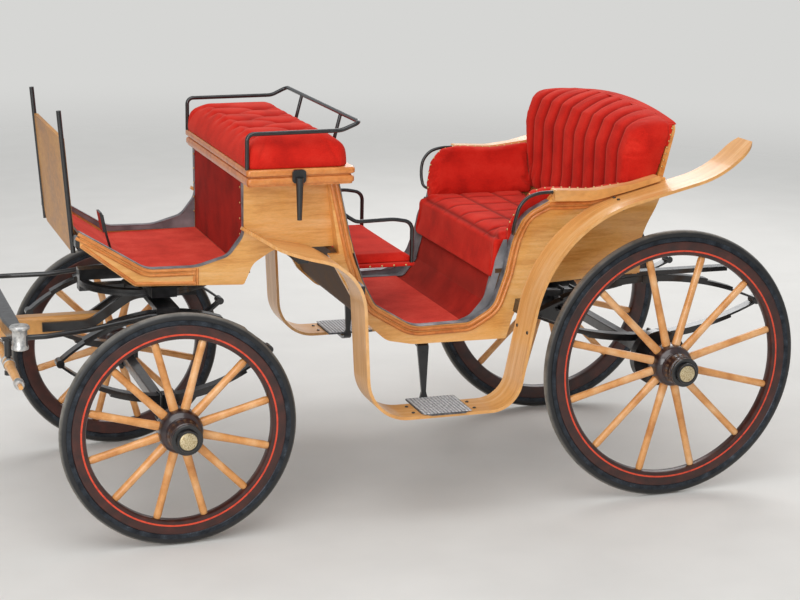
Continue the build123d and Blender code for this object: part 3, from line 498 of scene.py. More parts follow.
def moulded_frame(name, low, high, corner, profile):
    """A rectangle's edge moulding closed over its top and bottom; profile is (outwards, up) in mm."""
    middle, half = (low + high) / 2, (high - low) / 2
    piece = rectangle(name, middle, half.x, half.y, low.z, corner)
    out, up = 0.0, 0.0
    bpy.ops.mesh.edge_face_add()
    for i, (outwards, height) in enumerate(profile):
        if i:
            extrude((0, 0, height / 1000 - up))
        step_out, up = outwards / 1000, height / 1000
        bpy.ops.transform.resize(
            value=((half.x + step_out) / (half.x + out), (half.y + step_out) / (half.y + out), 1),
            center_override=(middle.x, middle.y, low.z + up))
        out = step_out
    return close_up(piece, 40)


# outwards from the frame's edge and height above its underside, mm
seat_moulding = [(-16, 0), (-8, 0.5), (-7, 4), (-7, 7), (-3.5, 8), (-2, 11), (-2, 25), (-4, 30), (-8, 33),
                 (-12, 34), (-12, 39), (-4, 40), (-1, 42), (0, 46), (0, 57), (-1, 61), (-4, 64)]
seat_frame = moulded_frame("driver_seat_moulding", *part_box("driver_seat_frame"), 0.016, seat_moulding)
hand_over(seat_frame, bent_ash, "body", ["driver_seat_frame"])


# CUSHIONS
# Horsehair-filled cushions covered in red plush. The driver's is buttoned through, the passengers'
# is quilted in squares with a plain boxed front, the back is sewn in upright rolls.
def red_cloth(name, tones, pile_mm, sheen):
    """Red plush or carpet: tones are shadow, middle and light; pile_mm is the tuft spacing drawn."""
    material, tree, shader, where = new_material(
        name, Roughness=0.92, Sheen_Weight=sheen, Sheen_Roughness=0.45, Sheen_Tint=to_linear("#FF9A80"),
        Specular_IOR_Level=0.2)
    strokes = noise(tree, where, 110, 5.0, Roughness=0.55)
    pile = noise(tree, where, pile_mm, 3.0)
    mixed = add_node(tree, "ShaderNodeMix", {"data_type": "FLOAT", 0: 0.35}, {2: strokes, 3: pile})
    colour = ramp(tree, (mixed, 0), list(zip((0.32, 0.50, 0.68), tones)))
    # painted shade: the cloth is darkened in its seams, together with its pile pressed flat there
    seam = add_node(tree, "ShaderNodeAttribute", {"attribute_name": "seam"})
    shadow = ramp(tree, (seam, "Fac"), [(0.10, "#FFFFFF"), (0.95, "#A8807A")])
    finish_surface(tree, shader, multiplied(tree, colour, shadow), None, pile, relief_mm=pile_mm * 0.25,
                   strength=0.6)
    return material


# Cut cotton plush, brushed: deep red with lighter strokes 110 mm across and a 3 mm pile drawn.
red_plush = red_cloth("Red cotton plush, cut pile", ("#A4140B", "#C61E12", "#D23022"), 3.0, 0.2)
# Cut-pile wool carpet: flatter and pinker than the plush.
red_carpet = red_cloth("Red wool carpet, cut pile", ("#B4241A", "#D03428", "#DE4C3C"), 4.0, 0.25)
# The same plush nailed up the riser under the seat, painted a duller red for the shade it lies in.
riser_cloth_in_painted_shade = red_cloth("Red plush, stretched on the riser", ("#7E140C", "#9A1C12", "#B2281C"), 3.0, 0.2)
# The same cloth stretched flat over boards in the shade of the seats, painted a darker, cooler red for that
# shade.
shade_darkened_red_cloth = red_cloth("Dark red cloth, stretched", ("#700C05", "#8E1208", "#A21A0E"), 3.0, 0.05)


def choose(*pieces):
    """Selects only these pieces; the first is the active one."""
    bpy.ops.object.select_all(action="DESELECT")
    for piece in pieces:
        piece.select_set(True)
    bpy.context.view_layer.objects.active = pieces[0]


def shape_by(piece, kind, **settings):
    """Adds a modifier to the active piece, sets it and applies it."""
    modifier = piece.modifiers.new(kind.title(), kind)
    for key, value in settings.items():
        setattr(modifier, key, value)
    bpy.ops.object.modifier_apply(modifier=modifier.name)


def vertex_rows(piece, what="co"):
    """The vertices' places, or their normals with what="normal", as rows of x, y, z."""
    rows = np.empty(len(piece.data.vertices) * 3)
    piece.data.vertices.foreach_get(what, rows)
    return rows.reshape(-1, 3)


def set_places(piece, places):
    piece.data.vertices.foreach_set("co", places.ravel())
    piece.data.update()


def limited(values):
    return np.clip(values, 0, 1)


def puffed(name, node, voxel, cap, smaller=0.003, pressure=12.0, rests_towards=(0, 0, -1)):
    """A stuffed copy of a CAD node, swelled as cloth by at most cap, held where it faces its board.

    rests_towards is the way to the board; a y of 1 there means outwards on both sides.
    """
    piece = copied(nodes[node], name)
    for key in list(piece.keys()):
        del piece[key]
    choose(piece)
    edit_all()
    merge_doubles()
    low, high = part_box(node)
    size = high - low
    bpy.ops.transform.resize(value=[(s - 2 * smaller) / s for s in size[:2]] + [(size.z - smaller) / size.z],
                             center_override=((low.x + high.x) / 2, (low.y + high.y) / 2, low.z))
    leave_edit()
    shape_by(piece, "REMESH", mode="VOXEL", voxel_size=voxel)
    shape_by(piece, "SMOOTH", factor=0.5, iterations=6)
    start = vertex_rows(piece)
    way = np.array(rests_towards, float) * np.ones_like(start)
    way[:, 1] *= np.sign(start[:, 1])
    held = (vertex_rows(piece, "normal") * way).sum(axis=1) > 0.6
    resting = piece.vertex_groups.new(name="resting")
    resting.add(np.nonzero(held)[0].tolist(), 1.0, "REPLACE")
    cloth = piece.modifiers.new("Stuffing", "CLOTH")
    cloth.settings.quality = 4
    cloth.settings.mass = 0.3
    cloth.settings.tension_stiffness = cloth.settings.compression_stiffness = 8
    cloth.settings.bending_stiffness = 0.4
    cloth.settings.vertex_group_mass = resting.name
    cloth.settings.use_pressure = True
    cloth.settings.uniform_pressure_force = pressure
    cloth.settings.effector_weights.gravity = 0
    moments = 20
    cloth.point_cache.frame_start, cloth.point_cache.frame_end = 1, moments
    for moment in range(1, moments + 1):
        bpy.context.scene.frame_set(moment)
    bpy.ops.object.modifier_apply(modifier=cloth.name)
    piece.vertex_groups.clear()
    moved = vertex_rows(piece) - start
    length = np.linalg.norm(moved, axis=1, keepdims=True)
    set_places(piece, start + moved * np.minimum(1.0, cap / np.maximum(length, 1e-9)))
    bpy.context.scene.frame_set(1)
    return piece


def drawn_in(places, seams, depth, width, power=1.2):
    """How far seams, each a start and an end, pull in each row of places."""
    deepest = np.zeros(len(places))
    for start, end in seams:
        start, end = np.array(start, float), np.array(end, float)
        run = end - start
        share = limited((places - start) @ run / max(run @ run, 1e-12))
        distance = np.linalg.norm(places - start - share[:, None] * run, axis=1)
        deepest = np.maximum(deepest, depth * np.exp(-(distance / width) ** power))
    return deepest


def upholster(piece, node, depths):
    """Draws each vertex in by its depth, marks the seams for their painted shade, rounds the piece once and
    covers it.
    """
    set_places(piece, vertex_rows(piece) - vertex_rows(piece, "normal") * depths[:, None])
    seam = piece.data.attributes.new("seam", "FLOAT", "POINT")
    seam.data.foreach_set("value", depths / max(depths.max(), 1e-6))
    choose(piece)
    shape_by(piece, "SUBSURF", levels=1, render_levels=1)
    bpy.ops.object.shade_smooth()
    hand_over(piece, red_plush, "body", [node])


# The driver's cushion: nine staggered buttons pulled down 30 mm in all, with folds running between
# them and out to the edges, so that the cloth stands up in diamonds.
driver_cushion = puffed("driver_seat_cushion", "driver_cushion", 0.0075, 0.019, smaller=0.001, pressure=20.0)
low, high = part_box("driver_cushion")
edge_inset, button_step = 0.050, 0.09
button_depth, button_reach, fold_depth, fold_reach = 0.020, 0.036, 0.0105, 0.014
dome_reach, dome_fall = 0.11, 0.16
buttons = [(low.x + 0.12, button_step * i) for i in (-4, -2, 0, 2, 4)]
buttons += [(low.x + 0.255, button_step * i) for i in (-3, -1, 1, 3)]
folds = []
for x, y in buttons:
    folds += [((x, y), (a, b)) for a, b in buttons if 0 < a - x < 0.2 and abs(abs(b - y) - button_step) < 0.01]
    edge_x = low.x + edge_inset if x < low.x + 0.2 else high.x - edge_inset
    folds += [((x, y), (edge_x, y - 0.05)), ((x, y), (edge_x, y + 0.05))]
places = vertex_rows(driver_cushion)
# domed: the cloth falls 15 mm towards the four edges, which bulge out to the moulding's edge
from_edge = np.minimum(np.minimum(places[:, 0] - low.x, high.x - places[:, 0]), high.y - np.abs(places[:, 1]))
domed = limited(1 - from_edge / dome_reach) ** 2
places[:, 2] = low.z + (places[:, 2] - low.z) * (0.97 - dome_fall * domed)
middle_x = (low.x + high.x) / 2
places[:, 0] = middle_x + (places[:, 0] - middle_x) * 1.02
places[:, 1] *= 1.013
set_places(driver_cushion, places)
upward = np.clip(vertex_rows(driver_cushion, "normal")[:, 2] * 1.6, 0.06, 1) * (places[:, 2] > low.z + 0.03)
depths = drawn_in(places[:, :2], folds, fold_depth, fold_reach)
for spot in buttons:
    depths += drawn_in(places[:, :2], [(spot, spot)], button_depth, button_reach, 1.3)
upholster(driver_cushion, "driver_cushion", depths * upward)

# The passengers' cushion: lines of stitching 150 mm apart both ways on the top only.
stitch_step, stitch_depth, stitch_reach, front_drop = 0.15, 0.0075, 0.011, 0.080
passenger_cushion = puffed("passenger_seat_cushion", "passenger_cushion", 0.0080, 0.016)
low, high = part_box("passenger_cushion")
places = vertex_rows(passenger_cushion)
# its boxed front hangs 58 mm over the front of the seat board, and its back fills the corner
hanging = limited((low.x + 0.022 - places[:, 0]) / 0.012) * limited((low.z + 0.07 - places[:, 2]) / 0.07)
places[:, 2] -= front_drop * hanging
places[:, 0] -= hanging * np.clip(places[:, 0] - (low.x - 0.002), 0, None)
places[:, 0] += 0.015 * limited((places[:, 0] - (high.x - 0.10)) / 0.10)
set_places(passenger_cushion, places)
seams = [((low.x, y), (high.x, y)) for y in [low.y + (high.y - low.y) * i / 6 for i in range(1, 6)]]
seams += [((x, low.y), (x, high.y)) for x in [low.x + 0.035 + stitch_step * i for i in range(4)]]
on_top = limited((vertex_rows(passenger_cushion, "normal")[:, 2] - 0.3) * 2.5)
depths = drawn_in(places[:, :2], seams, stitch_depth, stitch_reach)
upholster(passenger_cushion, "passenger_cushion", depths * on_top)

# The back: ten upright rolls, sewn 15 mm deep between them and dying out at the two edges.
back_cushion = puffed("passenger_back_cushion", "back_cushion", 0.0080, 0.014, smaller=0.001,
                      rests_towards=(1, 0, 0))
low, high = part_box("back_cushion")
places = vertex_rows(back_cushion)
# pulled up over the crown of its board, which leans back, and out over its two upper corners
pulled_to_z, lean_back, roll_count, roll_depth = 1.556, 0.24, 10, 0.015
raised = (places[:, 2] - low.z) * ((pulled_to_z - low.z) / (places[:, 2].max() - low.z) - 1)
places[:, 2] += raised
places[:, 0] += lean_back * raised
places[:, 1] *= 1 + 0.032 * limited((places[:, 2] - 1.30) / 0.12)
set_places(back_cushion, places)
roll_width = (high.y - low.y) / roll_count
across = (places[:, 1] - low.y) / roll_width
in_roll = np.abs(2 * (across - np.floor(across)) - 1)
normals = vertex_rows(back_cushion, "normal")
facing = limited(-normals[:, 0] * 2 + normals[:, 2] * 0.3)
inside = limited(np.minimum(places[:, 1] - low.y, high.y - places[:, 1]) / roll_width * 2 - 0.7)
upholster(back_cushion, "back_cushion", roll_depth * in_roll ** 3.2 * facing * inside)


def flare(z, first=250.0, second=250.0):
    """How far the body's side leans out at height z above the ground, all in mm, by its two bend radii."""
    lean, straight_from, straight_to = math.radians(27.6), 1023.6, 1276.4
    start, end = straight_from + first * math.sin(lean), straight_to - second * math.sin(lean)
    rise = np.clip(z - straight_from, 0, first * math.sin(lean))
    fall = np.clip(straight_to - z, 0, second * math.sin(lean))
    lower_bend = first - np.sqrt(first ** 2 - rise ** 2)
    upper_bend = np.sqrt(second ** 2 - fall ** 2) - second * math.cos(lean)
    return lower_bend + upper_bend + (np.clip(z, start, end) - start) * math.tan(lean)


# The two arm pads: flat, tight and plain, held to the flared boards by a row of nails.
board_face = 464.0
arm_cushions = puffed("arm_pad_cushions", "arm_pads", 0.0070, 0.010, smaller=0.001, rests_towards=(0, 1, 0))
low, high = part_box("arm_pads")
places = vertex_rows(arm_cushions)
places[:, 0] += 0.030 * limited((places[:, 0] - (high.x - 0.20)) / 0.20)
places[:, 2] -= 0.016 * limited((low.z + 0.05 - places[:, 2]) / 0.05)
board_y = (board_face + flare(places[:, 2] * 1000)) / 1000
places[:, 1] = np.sign(places[:, 1]) * np.minimum(np.abs(places[:, 1]), board_y)
set_places(arm_cushions, places)
upholster(arm_cushions, "arm_pads", np.zeros(len(places)))

# The child's seat: its board is wrapped in the same plush, tacked under, with a thin plain pad.
child_board = moulded_frame("child_seat_wrapped_board", *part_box("child_seat"), 0.014,
                            [(-6, 0), (-2, 0.3), (0, 2.5), (0, 10), (-2, 12.4), (-6, 13)])
hand_over(child_board, red_plush, "body", ["child_seat"])
child_pad = puffed("child_seat_pad", "child_cushion", 0.0070, 0.008)
upholster(child_pad, "child_cushion", np.zeros(len(child_pad.data.vertices)))


# SILLS, BEADS AND LININGS
# Each side board is edged with a rolled aluminium strip; below it run two half-round ash beads,
# glued and pinned, that follow the sill. Inside, the boards are lined with grey rubber cloth.
axle_x = (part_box("front_axle")[0].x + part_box("front_axle")[1].x) / 2
# half widths over the boards and the boards' thickness, of the driver's box and of the body, mm
box_half, box_board = 420, 24
body_half, body_board = 490, 25


def behind_axle(x, y, z):
    """A place in metres from mm behind the front axle, to the right, and above the ground."""
    return Vector((axle_x + x / 1000, y / 1000, z / 1000))


def set_in(points, radii, distance):
    """A side-view chain (x, z) and its corner radii moved to its right by distance, all in mm."""
    moved, rounded = [], []
    for i, point in enumerate(points):
        here = Vector(point)
        before = (here - Vector(points[i - 1])).normalized() if i else None
        after = (Vector(points[i + 1]) - here).normalized() if i + 1 < len(points) else None
        ways = [Vector((way.y, -way.x)) for way in (before, after) if way]
        middle = sum(ways, Vector((0, 0))) / len(ways)
        moved.append(here + middle * distance / middle.length_squared)
        if before and after:
            turn = before.x * after.y - before.y * after.x
            rounded.append(max(2, radii[i - 1] + distance * (1 if turn > 0 else -1)))
    return [tuple(p) for p in moved], rounded


def mirrored(piece, name):
    """A copy with its own mesh on the other side of the carriage."""
    twin = copied(piece, name, Matrix.Scale(-1, 4, (0, 1, 0)))
    twin.data.flip_normals()
    return twin


def both_sides(piece, material, body="body"):
    """Fixes a left piece and its mirrored right one."""
    for each in (piece, mirrored(piece, piece.name.replace("left_", "right_"))):
        hand_over(each, material, body)


def rod(piece, thickness_mm, sides=3):
    """Turns a drawn line into a round rod of that diameter with closed ends."""
    name = piece.name
    leave_edit()
    bpy.ops.object.convert(target="CURVE")
    line = bpy.context.object
    line.data.bevel_depth = thickness_mm / 2000
    line.data.bevel_resolution = sides
    line.data.use_fill_caps = True
    bpy.ops.object.convert(target="MESH")
    made = bpy.context.object
    made.name = made.data.name = name
    return close_up(made, 50)


def side_chain(name, points, radii, y, closed=False):
    """A drawn line in the side view at y mm, its places and radii in mm."""
    return draw_line(name, [behind_axle(x, y, z) for x, z in points], closed, [r / 1000 for r in radii])


def lean_out(piece, first=250.0, second=250.0):
    """Divides a left line in edit mode and moves it with the body's flare, in along the front post."""
    post_foot, post_lean = 1045, 0.16
    bpy.ops.mesh.subdivide(number_cuts=3)
    leave_edit()
    places = vertex_rows(piece)
    height = places[:, 2] * 1000
    rear = places[:, 0] > behind_axle(1100, 0, 0).x
    in_front = -post_lean * np.clip(height - post_foot, 0, None)
    places[:, 1] -= np.where(rear, flare(height, first, second), in_front) / 1000
    set_places(piece, places)
    edit_all()


def edge_strip(name, points, radii, y, width, thickness, flared=False):
    """A thin strip bent along a side-view line, from y towards the middle, thickened to its left."""
    strip = side_chain(name, points, radii, y)
    if flared:
        lean_out(strip)
    extrude((0, width / 1000, 0))
    leave_edit()
    shape_by(strip, "SOLIDIFY", thickness=thickness / 1000, offset=1.0)
    return close_up(strip, 40)


def side_panel(name, outline, radii, y, thickness):
    """A flat sheet cut to a side-view outline in mm, from y towards the middle by thickness."""
    panel = side_chain(name, outline, radii, y, closed=True)
    bpy.ops.mesh.edge_face_add()
    extrude((0, thickness / 1000, 0))
    return close_up(panel, 30)


def ash_bead(name, points, radii, y, thickness=13, flared=False):
    """A round ash lath along a side-view line, on both sides."""
    line = side_chain(name, points, radii, y)
    if flared:
        lean_out(line, 225.0, 275.0)
    both_sides(rod(line, thickness), bent_ash)


# Rolled aluminium gone dull: pale grey, scuffed in streaks 40 mm long.
edging = mottled("Aluminium edging, dull", 40, 6.0, [(0.35, "#6A686A"), (0.6, "#8E8C90"), (0.8, "#AAA9AC")],
                 relief_mm=0.2, Metallic=0.55, Roughness=0.5)
# Rubbered cloth lining: mid grey, matt, with a cloth grain drawn at 3 mm.
grey_lining = mottled("Rubbered cloth lining, grey", 90, 6.0,
                      [(0.35, "#605F62"), (0.6, "#807F82"), (0.8, "#9C9B9D")],
                      relief_mm=0.3, grain=(3, 1.0), Roughness=0.8)

# the toe board's sill from the dashboard to under the driver's seat: x, z and corner radii, mm
toe_sill = [(-318, 1165), (-70, 1012), (120, 1010), (240, 1045), (298, 1120), (298, 1318)]
toe_radii = [90, 150, 60, 60]
both_sides(edge_strip("left_toe_edging", *set_in(toe_sill, toe_radii, -0.2), -box_half - 2, 30, 3), edging)
for label, depth in (("upper", 11), ("lower", 27)):
    bead_line, bead_radii = set_in(toe_sill[:3], toe_radii[:1], depth)
    bead_line[-1] = (112, bead_line[-1][1])
    ash_bead(f"left_toe_{label}_bead", bead_line, bead_radii, -box_half - 1)
ash_bead("left_toe_foot_bead", *set_in([(-318, 1105), (-118, 948), (112, 938)], [30], -9), -box_half - 1)
for label, x in (("first", 108), ("second", 120)):
    ash_bead(f"left_toe_{label}_return", [(x, 1003), (x, 941)], [], -box_half - 1, 10)
toe_lining = [(-300, 1149), (-75, 1009), (120, 1007), (236, 1042), (293, 1118), (296, 1118), (296, 990),
              (-80, 990), (-298, 1136)]
both_sides(side_panel("left_toe_lining", toe_lining, [1, 90, 150, 60, 20, 1, 1, 60, 1],
                      -box_half + box_board + 0.3, 3), grey_lining)

# the passengers' entrance from the back corner under the arm rail, down and forward, and up the post
entrance = [(1945, 1288), (1825, 1256), (1664, 1221), (1485, 1226), (1395, 1176), (1362, 1060), (1335, 930),
            (1290, 800), (1190, 742), (960, 738), (800, 835), (750, 930), (713, 1045), (664, 1318)]
entrance_radii = [250, 250, 8, 90, 150, 200, 80, 60, 120, 60, 60, 60]
both_sides(edge_strip("left_entrance_edging", *set_in(entrance[3:], entrance_radii[3:], 0.3), -body_half - 4,
                      34, 3, flared=True), edging)
for label, depth in (("inner", 13), ("outer", 31)):
    ash_bead(f"left_entrance_{label}_bead", *set_in(entrance, entrance_radii, -depth), -body_half - 1, 15,
             flared=True)

# the grab handle at the entrance: one bent rod from the rail's end down and in to the board
handle_y = (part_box("arm_handles")[1].y - 0.007) * 1000
handle_line = [behind_axle(x, -y, z) for x, y, z in (
    (1500, handle_y, 1260), (1436, handle_y, 1260), (1368, handle_y, 1232), (1348, handle_y - 8, 1152),
    (1352, handle_y - 36, 1098), (1376, 482, 1084))]
handle = rod(draw_line("arm_handle_rods", handle_line, radii=[0.150, 0.080, 0.140, 0.030]), 14, 4)
choose(handle, mirrored(handle, "right_arm_handle_rod"))
bpy.ops.object.join()
hand_over(handle, black_enamel, "body", ["arm_handles"])


# CARPETS
# Red carpet is cut to the two floors and laid loose; plush is stretched up the riser and over the
# seat box front, both painted darker red for their shade. At the well's sides the boards are lined
# in grey, with a strip over the edges.
def laid_carpet(name, points, radii, half_width, material, thickness=6):
    """Cloth along a side-view line in mm, half_width each way, to the line's left."""
    length = sum((Vector(b) - Vector(a)).length for a, b in zip(points, points[1:]))
    for radius, before, here, after in zip(radii, points, points[1:], points[2:]):
        turning = (Vector(here) - Vector(before)).angle(Vector(after) - Vector(here))
        length -= radius * (2 * math.tan(turning / 2) - turning)
    carpet = edge_strip(name, points, radii, -half_width, 2 * half_width, thickness)
    edit_all()
    bpy.ops.mesh.bevel(offset=0.0015, segments=2, affect="EDGES", clamp_overlap=True)
    hand_over(close_up(carpet, 40), material, "body")


# a cloth's line runs on the underside of its board: the board's thickness and 0.4 mm above it
toe_line, toe_line_radii = set_in([(-300, 1105.7), (-95, 965), (297, 965)], [60], -20 - 0.4)
laid_carpet("toe_board_carpet", toe_line, toe_line_radii, box_half - box_board - 5, red_carpet)
well_underside = [(627.3, 1053.4), (785, 762), (850, 698), (1240, 698), (1306, 790)]
underside_radii = [60, 60, 50, 60]
well_line, well_radii = set_in(well_underside + [(1339, 913)], underside_radii, -18 - 0.4)
well_end = (1198, well_line[3][1])
well_half = body_half - body_board - 6
laid_carpet("well_carpet", well_line[1:3] + [well_end], well_radii[1:2], well_half, red_carpet)
laid_carpet("riser_cloth_in_painted_shade", [well_end] + well_line[3:], well_radii[2:], well_half, riser_cloth_in_painted_shade)
# the side board's whole inner face is lined; the lining stands out past the wood's edge
well_lining = [(1354, 1060), (1350, 985), (1343, 930), (1298, 792), (1245, 706), (850, 706), (785, 768),
               (640, 1040), (706, 1040), (747, 929), (798, 832), (960, 739), (1150, 744), (1204, 764),
               (1258, 826), (1296, 930), (1306, 985), (1338, 1060)]
well_lining_radii = [1, 100, 200, 80, 50, 60, 60, 1, 1, 60, 60, 120, 80, 60, 80, 200, 100, 1]
both_sides(side_panel("left_well_side_lining", well_lining, well_lining_radii, -body_half + body_board + 0.3,
                      2.4), grey_lining)
# the strip over the carpets' edges is 22 mm wide and widens by 42 mm up the riser
strip_line, strip_radii = set_in(well_underside + [(1334, 894)], underside_radii, -25)
strip_outer = -body_half + body_board + 2
edge_cover = edge_strip("left_well_lining", strip_line[1:], strip_radii[1:], strip_outer, 22, 3)
places = vertex_rows(edge_cover)
along = limited((places[:, 0] - behind_axle(1120, 0, 0).x) / 0.18)
inner_edge = places[:, 1] * 1000 > strip_outer + 13
places[inner_edge, 1] += 0.042 * (along * along * (3 - 2 * along))[inner_edge]
set_places(edge_cover, places)
both_sides(edge_cover, grey_lining)
laid_carpet("seat_box_front_cloth", [(297.6, 1318), (297.6, 992)], [], box_half - box_board - 2,
            shade_darkened_red_cloth, 3)


# STEPS
# Each step is a cast tread plate screwed on the bent strip, its top raised in rows of small
# lozenges that keep a boot from slipping.

# Galvanised steel: dirt in the hollows, a bright rubbed face on each lozenge.
tread_plate, tread_lozenge = [
    mottled(f"Galvanised tread plate, {label}", 12, 6.0, list(zip((0.35, 0.55, 0.8), tones)), relief_mm=0.3,
            Metallic=0.3, Roughness=sheen)
    for label, tones, sheen in (("in its hollows", ("#4A4B4D", "#66676A", "#808184"), 0.6),
                                ("rubbed bright", ("#A4A5A8", "#C4C5C7", "#DCDCDD"), 0.4))]
finish_nodes(tread_plate, "step_treads")
low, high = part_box("step_treads")
rows, columns, pitch = 15, 14, 0.0141
first_lozenge = (low.x + 0.0085, low.y + 0.0115, high.z + 0.0008)
lozenges = started("left_tread_lozenges", bpy.ops.mesh.primitive_cone_add, vertices=4, radius1=0.0085,
                   radius2=0.0045, depth=0.0026, location=first_lozenge)
for count, offset in ((columns, (pitch, 0, 0)), (rows, (0, pitch, 0))):
    shape_by(lozenges, "ARRAY", count=count, use_relative_offset=False, use_constant_offset=True,
             constant_offset_displace=offset)
both_sides(lozenges, tread_lozenge)


# BRASS NAILS
# Round-headed upholstery nails, 9 mm across, driven along the edges of the red cloth: every 35 mm
# around the arm pads, 60 mm up the seat box front and 50 mm along the child's seat.

# Polished brass heads: bright yellow, dulled a little in blotches 4 mm across.
nail_brass = mottled("Brass nail heads, polished", 4, 2.0, [(0.4, "#C9A45C"), (0.7, "#E8D3A0")],
                     relief_mm=0.05, Metallic=1.0, Roughness=0.28)


def head_row(name, points, outward, spacing, head_mm=9, material=nail_brass):
    """Domed heads spaced along a chain of points on both sides, flattened along outward."""
    places = []
    carried = 0.0
    for start, end in zip(points, points[1:]):
        start, end = Vector(start), Vector(end)
        length = (end - start).length
        while carried < length:
            places.append(start.lerp(end, carried / length))
            carried += spacing
        carried -= length
    row = started(name, bpy.ops.mesh.primitive_uv_sphere_add, segments=8, ring_count=6,
                  radius=head_mm / 2000, location=places[0])
    edit_all()
    bpy.ops.transform.resize(value=[0.55 if part else 1.0 for part in outward], center_override=places[0])
    for before, after in zip(places, places[1:]):
        bpy.ops.mesh.duplicate_move(TRANSFORM_OT_translate={"value": after - before})
    both_sides(close_up(row, 60), material)


front_edge = [behind_axle(292, -388, z) for z in (1300, 1020)]
head_row("left_seat_front_nails", front_edge, (1, 0, 0), 0.06)
# along the outer edge of the arm pads, x and z in mm
pad_edge = [(1349, 1100), (1352, 1130), (1366, 1176), (1381, 1212), (1404, 1242), (1432, 1262), (1500, 1273),
            (1580, 1269), (1664, 1264), (1740, 1271), (1806, 1279)]
pad_edge = [arm_cushions.closest_point_on_mesh(behind_axle(x, -447 - flare(z), z))[1] for x, z in pad_edge]
head_row("left_arm_pad_nails", pad_edge, (0, 0, 0), 0.035)
# along the side edge of the child's seat, half way up its board
low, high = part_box("child_seat")
seat_edge = [(x, low.y - 0.0005, low.z + 0.006) for x in (low.x + 0.03, high.x - 0.02)]
head_row("left_child_seat_nails", seat_edge, (0, 1, 0), 0.05)


# BACK EDGE BINDING
# The plush of the back is drawn over the top of its board and tacked behind; brass nails hold it
# along both side edges.
back_half, corner_z, crown_z, back_slope, board_front = 533, 1502, 1549, 58 / 240, 1990
binding_width, side_foot_z, stands_off = 0.059, 1420, 2
rise_radius = (back_half ** 2 + (crown_z - corner_z) ** 2) / (2 * (crown_z - corner_z))
arch = [(y, crown_z - rise_radius + math.sqrt(rise_radius ** 2 - y ** 2)) for y in range(-490, 491, 70)]
side_y = back_half + stands_off
binding_line = ([(-side_y, side_foot_z), (-side_y, corner_z - 1)] + [(y, z + stands_off) for y, z in arch]
                + [(side_y, corner_z - 1), (side_y, side_foot_z)])
binding = draw_line("back_edge_binding", [behind_axle(board_front, y, z) for y, z in binding_line],
                    radii=[0.030] + [0] * len(arch) + [0.030])
extrude((binding_width, 0, 0))
leave_edit()
places = vertex_rows(binding)
leant = (places[:, 2] - crown_z / 1000) * back_slope
side_edge = np.abs(places[:, 1]) > 0.52
rear_edge = places[:, 0] > behind_axle(board_front + 30, 0, 0).x
places[:, 0] += leant
places[side_edge & rear_edge, 0] -= 0.020
set_places(binding, places)
shape_by(binding, "SOLIDIFY", thickness=0.003, offset=0.0)
hand_over(close_up(binding, 50), red_plush, "body")
nail_ends = [behind_axle(2028 + (z - crown_z) * back_slope, -side_y - 0.5, z) for z in (1490, 1330)]
head_row("left_back_edge_nails", nail_ends, (0, 1, 0), 0.026)


# BOLTS AND CLAMPS
# Black coach bolts hold the mudguards to their brackets; each spring is clamped to its axle by two
# U-bolts with hexagon nuts under a plate.
for label, ends in (("front", [(1357, -585, 742), (1356, -690, 738)]),
                    ("rear", [(1750, -585, 1233), (1750, -625, 1233)]),
                    ("step", [(900, -600, 450), (900, -680, 450)]),
                    ("heel", [(1150, -600, 450), (1150, -680, 450)])):
    ends = [behind_axle(*end) for end in ends]
    outward = (1, 0, 0) if label == "front" else (0, 0, 1)
    head_row(f"left_mudguard_{label}_bolts", ends, outward, (ends[1] - ends[0]).length * 0.999, 15,
             black_enamel)
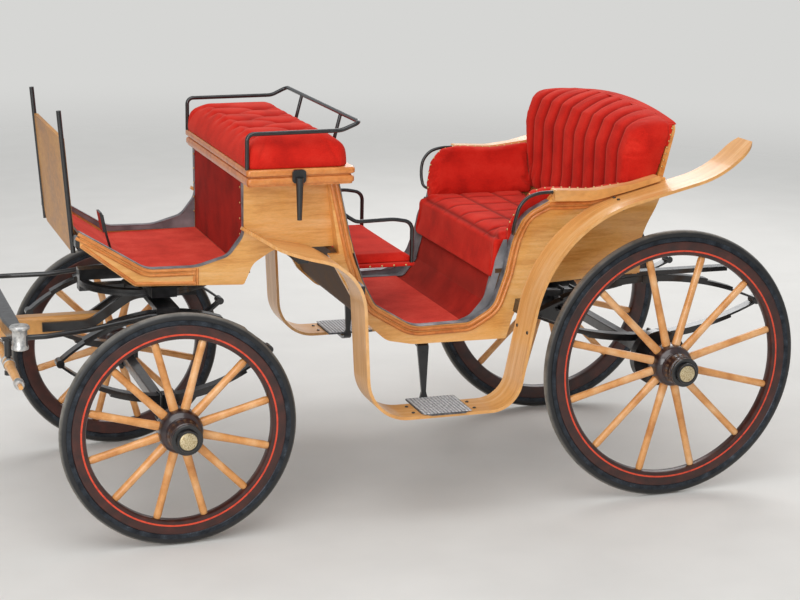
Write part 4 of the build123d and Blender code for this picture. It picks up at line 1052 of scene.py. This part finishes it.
# the spring's middle, and from it the legs of the U-bolts, mm
spring_y, leg_x, leg_y = -400, 26, 32
for axle, body, x in (("front", "forecarriage", 0), ("rear", "body", 2008)):
    beam_z = tyre_radius[axle] * 1000
    for label, offset in (("fore", -leg_x), ("aft", leg_x)):
        legs = [behind_axle(x + offset, spring_y + side, beam_z + up)
                for side, up in ((leg_y, -40), (leg_y, 80), (-leg_y, 80), (-leg_y, -40))]
        bolt = draw_line(f"left_{axle}_{label}_spring_bolt", legs, radii=[0.012, 0.012])
        both_sides(rod(bolt, 10), black_enamel, body=body)
    clamp = behind_axle(x, spring_y, beam_z - 30)
    plate = rectangle(f"left_{axle}_spring_plate", clamp, 0.038, 0.040, clamp.z, 0.008)
    bpy.ops.mesh.edge_face_add()
    extrude((0, 0, 0.0075))
    both_sides(close_up(plate), black_enamel, body=body)
    nut_section = [(0, beam_z - 38), (8.5, beam_z - 38), (8.5, beam_z - 30.2), (0, beam_z - 30.2)]
    nuts = turned(f"left_{axle}_spring_nuts", nut_section, behind_axle(x - leg_x, spring_y + leg_y, 0),
                  axis="Z", steps=6, smooth_degrees=20)
    edit_all()
    for way in ((2 * leg_x, 0, 0), (0, -2 * leg_y, 0), (-2 * leg_x, 0, 0)):
        bpy.ops.mesh.duplicate_move(TRANSFORM_OT_translate={"value": Vector(way) / 1000})
    leave_edit()
    both_sides(nuts, black_enamel, body=body)


# DRAUGHT FITTINGS
# White-metal roller bolts stand on the splinter bar's ends, and steel ferrules are driven on the
# swingletrees at their pin and at both ends.

# Nickelled steel, worn dull: nearly white with grey patches 15 mm across.
nickel = mottled("Nickelled steel, worn", 15, 5.0, [(0.30, "#8E9092"), (0.50, "#C4C3C0"), (0.75, "#E4E2DE")],
                 relief_mm=0.1, sheen=(0.5, 0.25), Metallic=0.6)
# radius and height above the ground, mm
roller = [(0, 764), (24, 764), (31, 768), (31, 778), (27, 784), (27, 834), (31, 840), (36, 843), (37, 850),
          (32, 856), (0, 859)]
both_sides(turned("left_roller_bolt", roller, behind_axle(-560, -531, 0), axis="Z"), nickel,
           "forecarriage")
# radius and distance from the swingletree's pin, mm
end_ferrule = [(15.5, 262), (18.6, 262), (19, 266), (18.6, 288), (17.5, 300), (15, 303), (8.3, 303),
               (8.3, 299), (14, 299)]
middle_ferrule = [(21.2, 12), (22.8, 13), (23.2, 22), (22.8, 34), (21.2, 35)]
for side, outwards in (("left", -1), ("right", 1)):
    low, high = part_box(f"{side}_swingletree")
    for label, section, facing in (("outer_end", end_ferrule, outwards), ("inner_end", end_ferrule, -outwards),
                                   ("outer_middle", middle_ferrule, outwards),
                                   ("inner_middle", middle_ferrule, -outwards)):
        ferrule = turned(f"{side}_swingletree_{label}_ferrule", section, (low + high) / 2, facing=facing)
        hand_over(ferrule, nickel, f"{side}_swingletree_body")
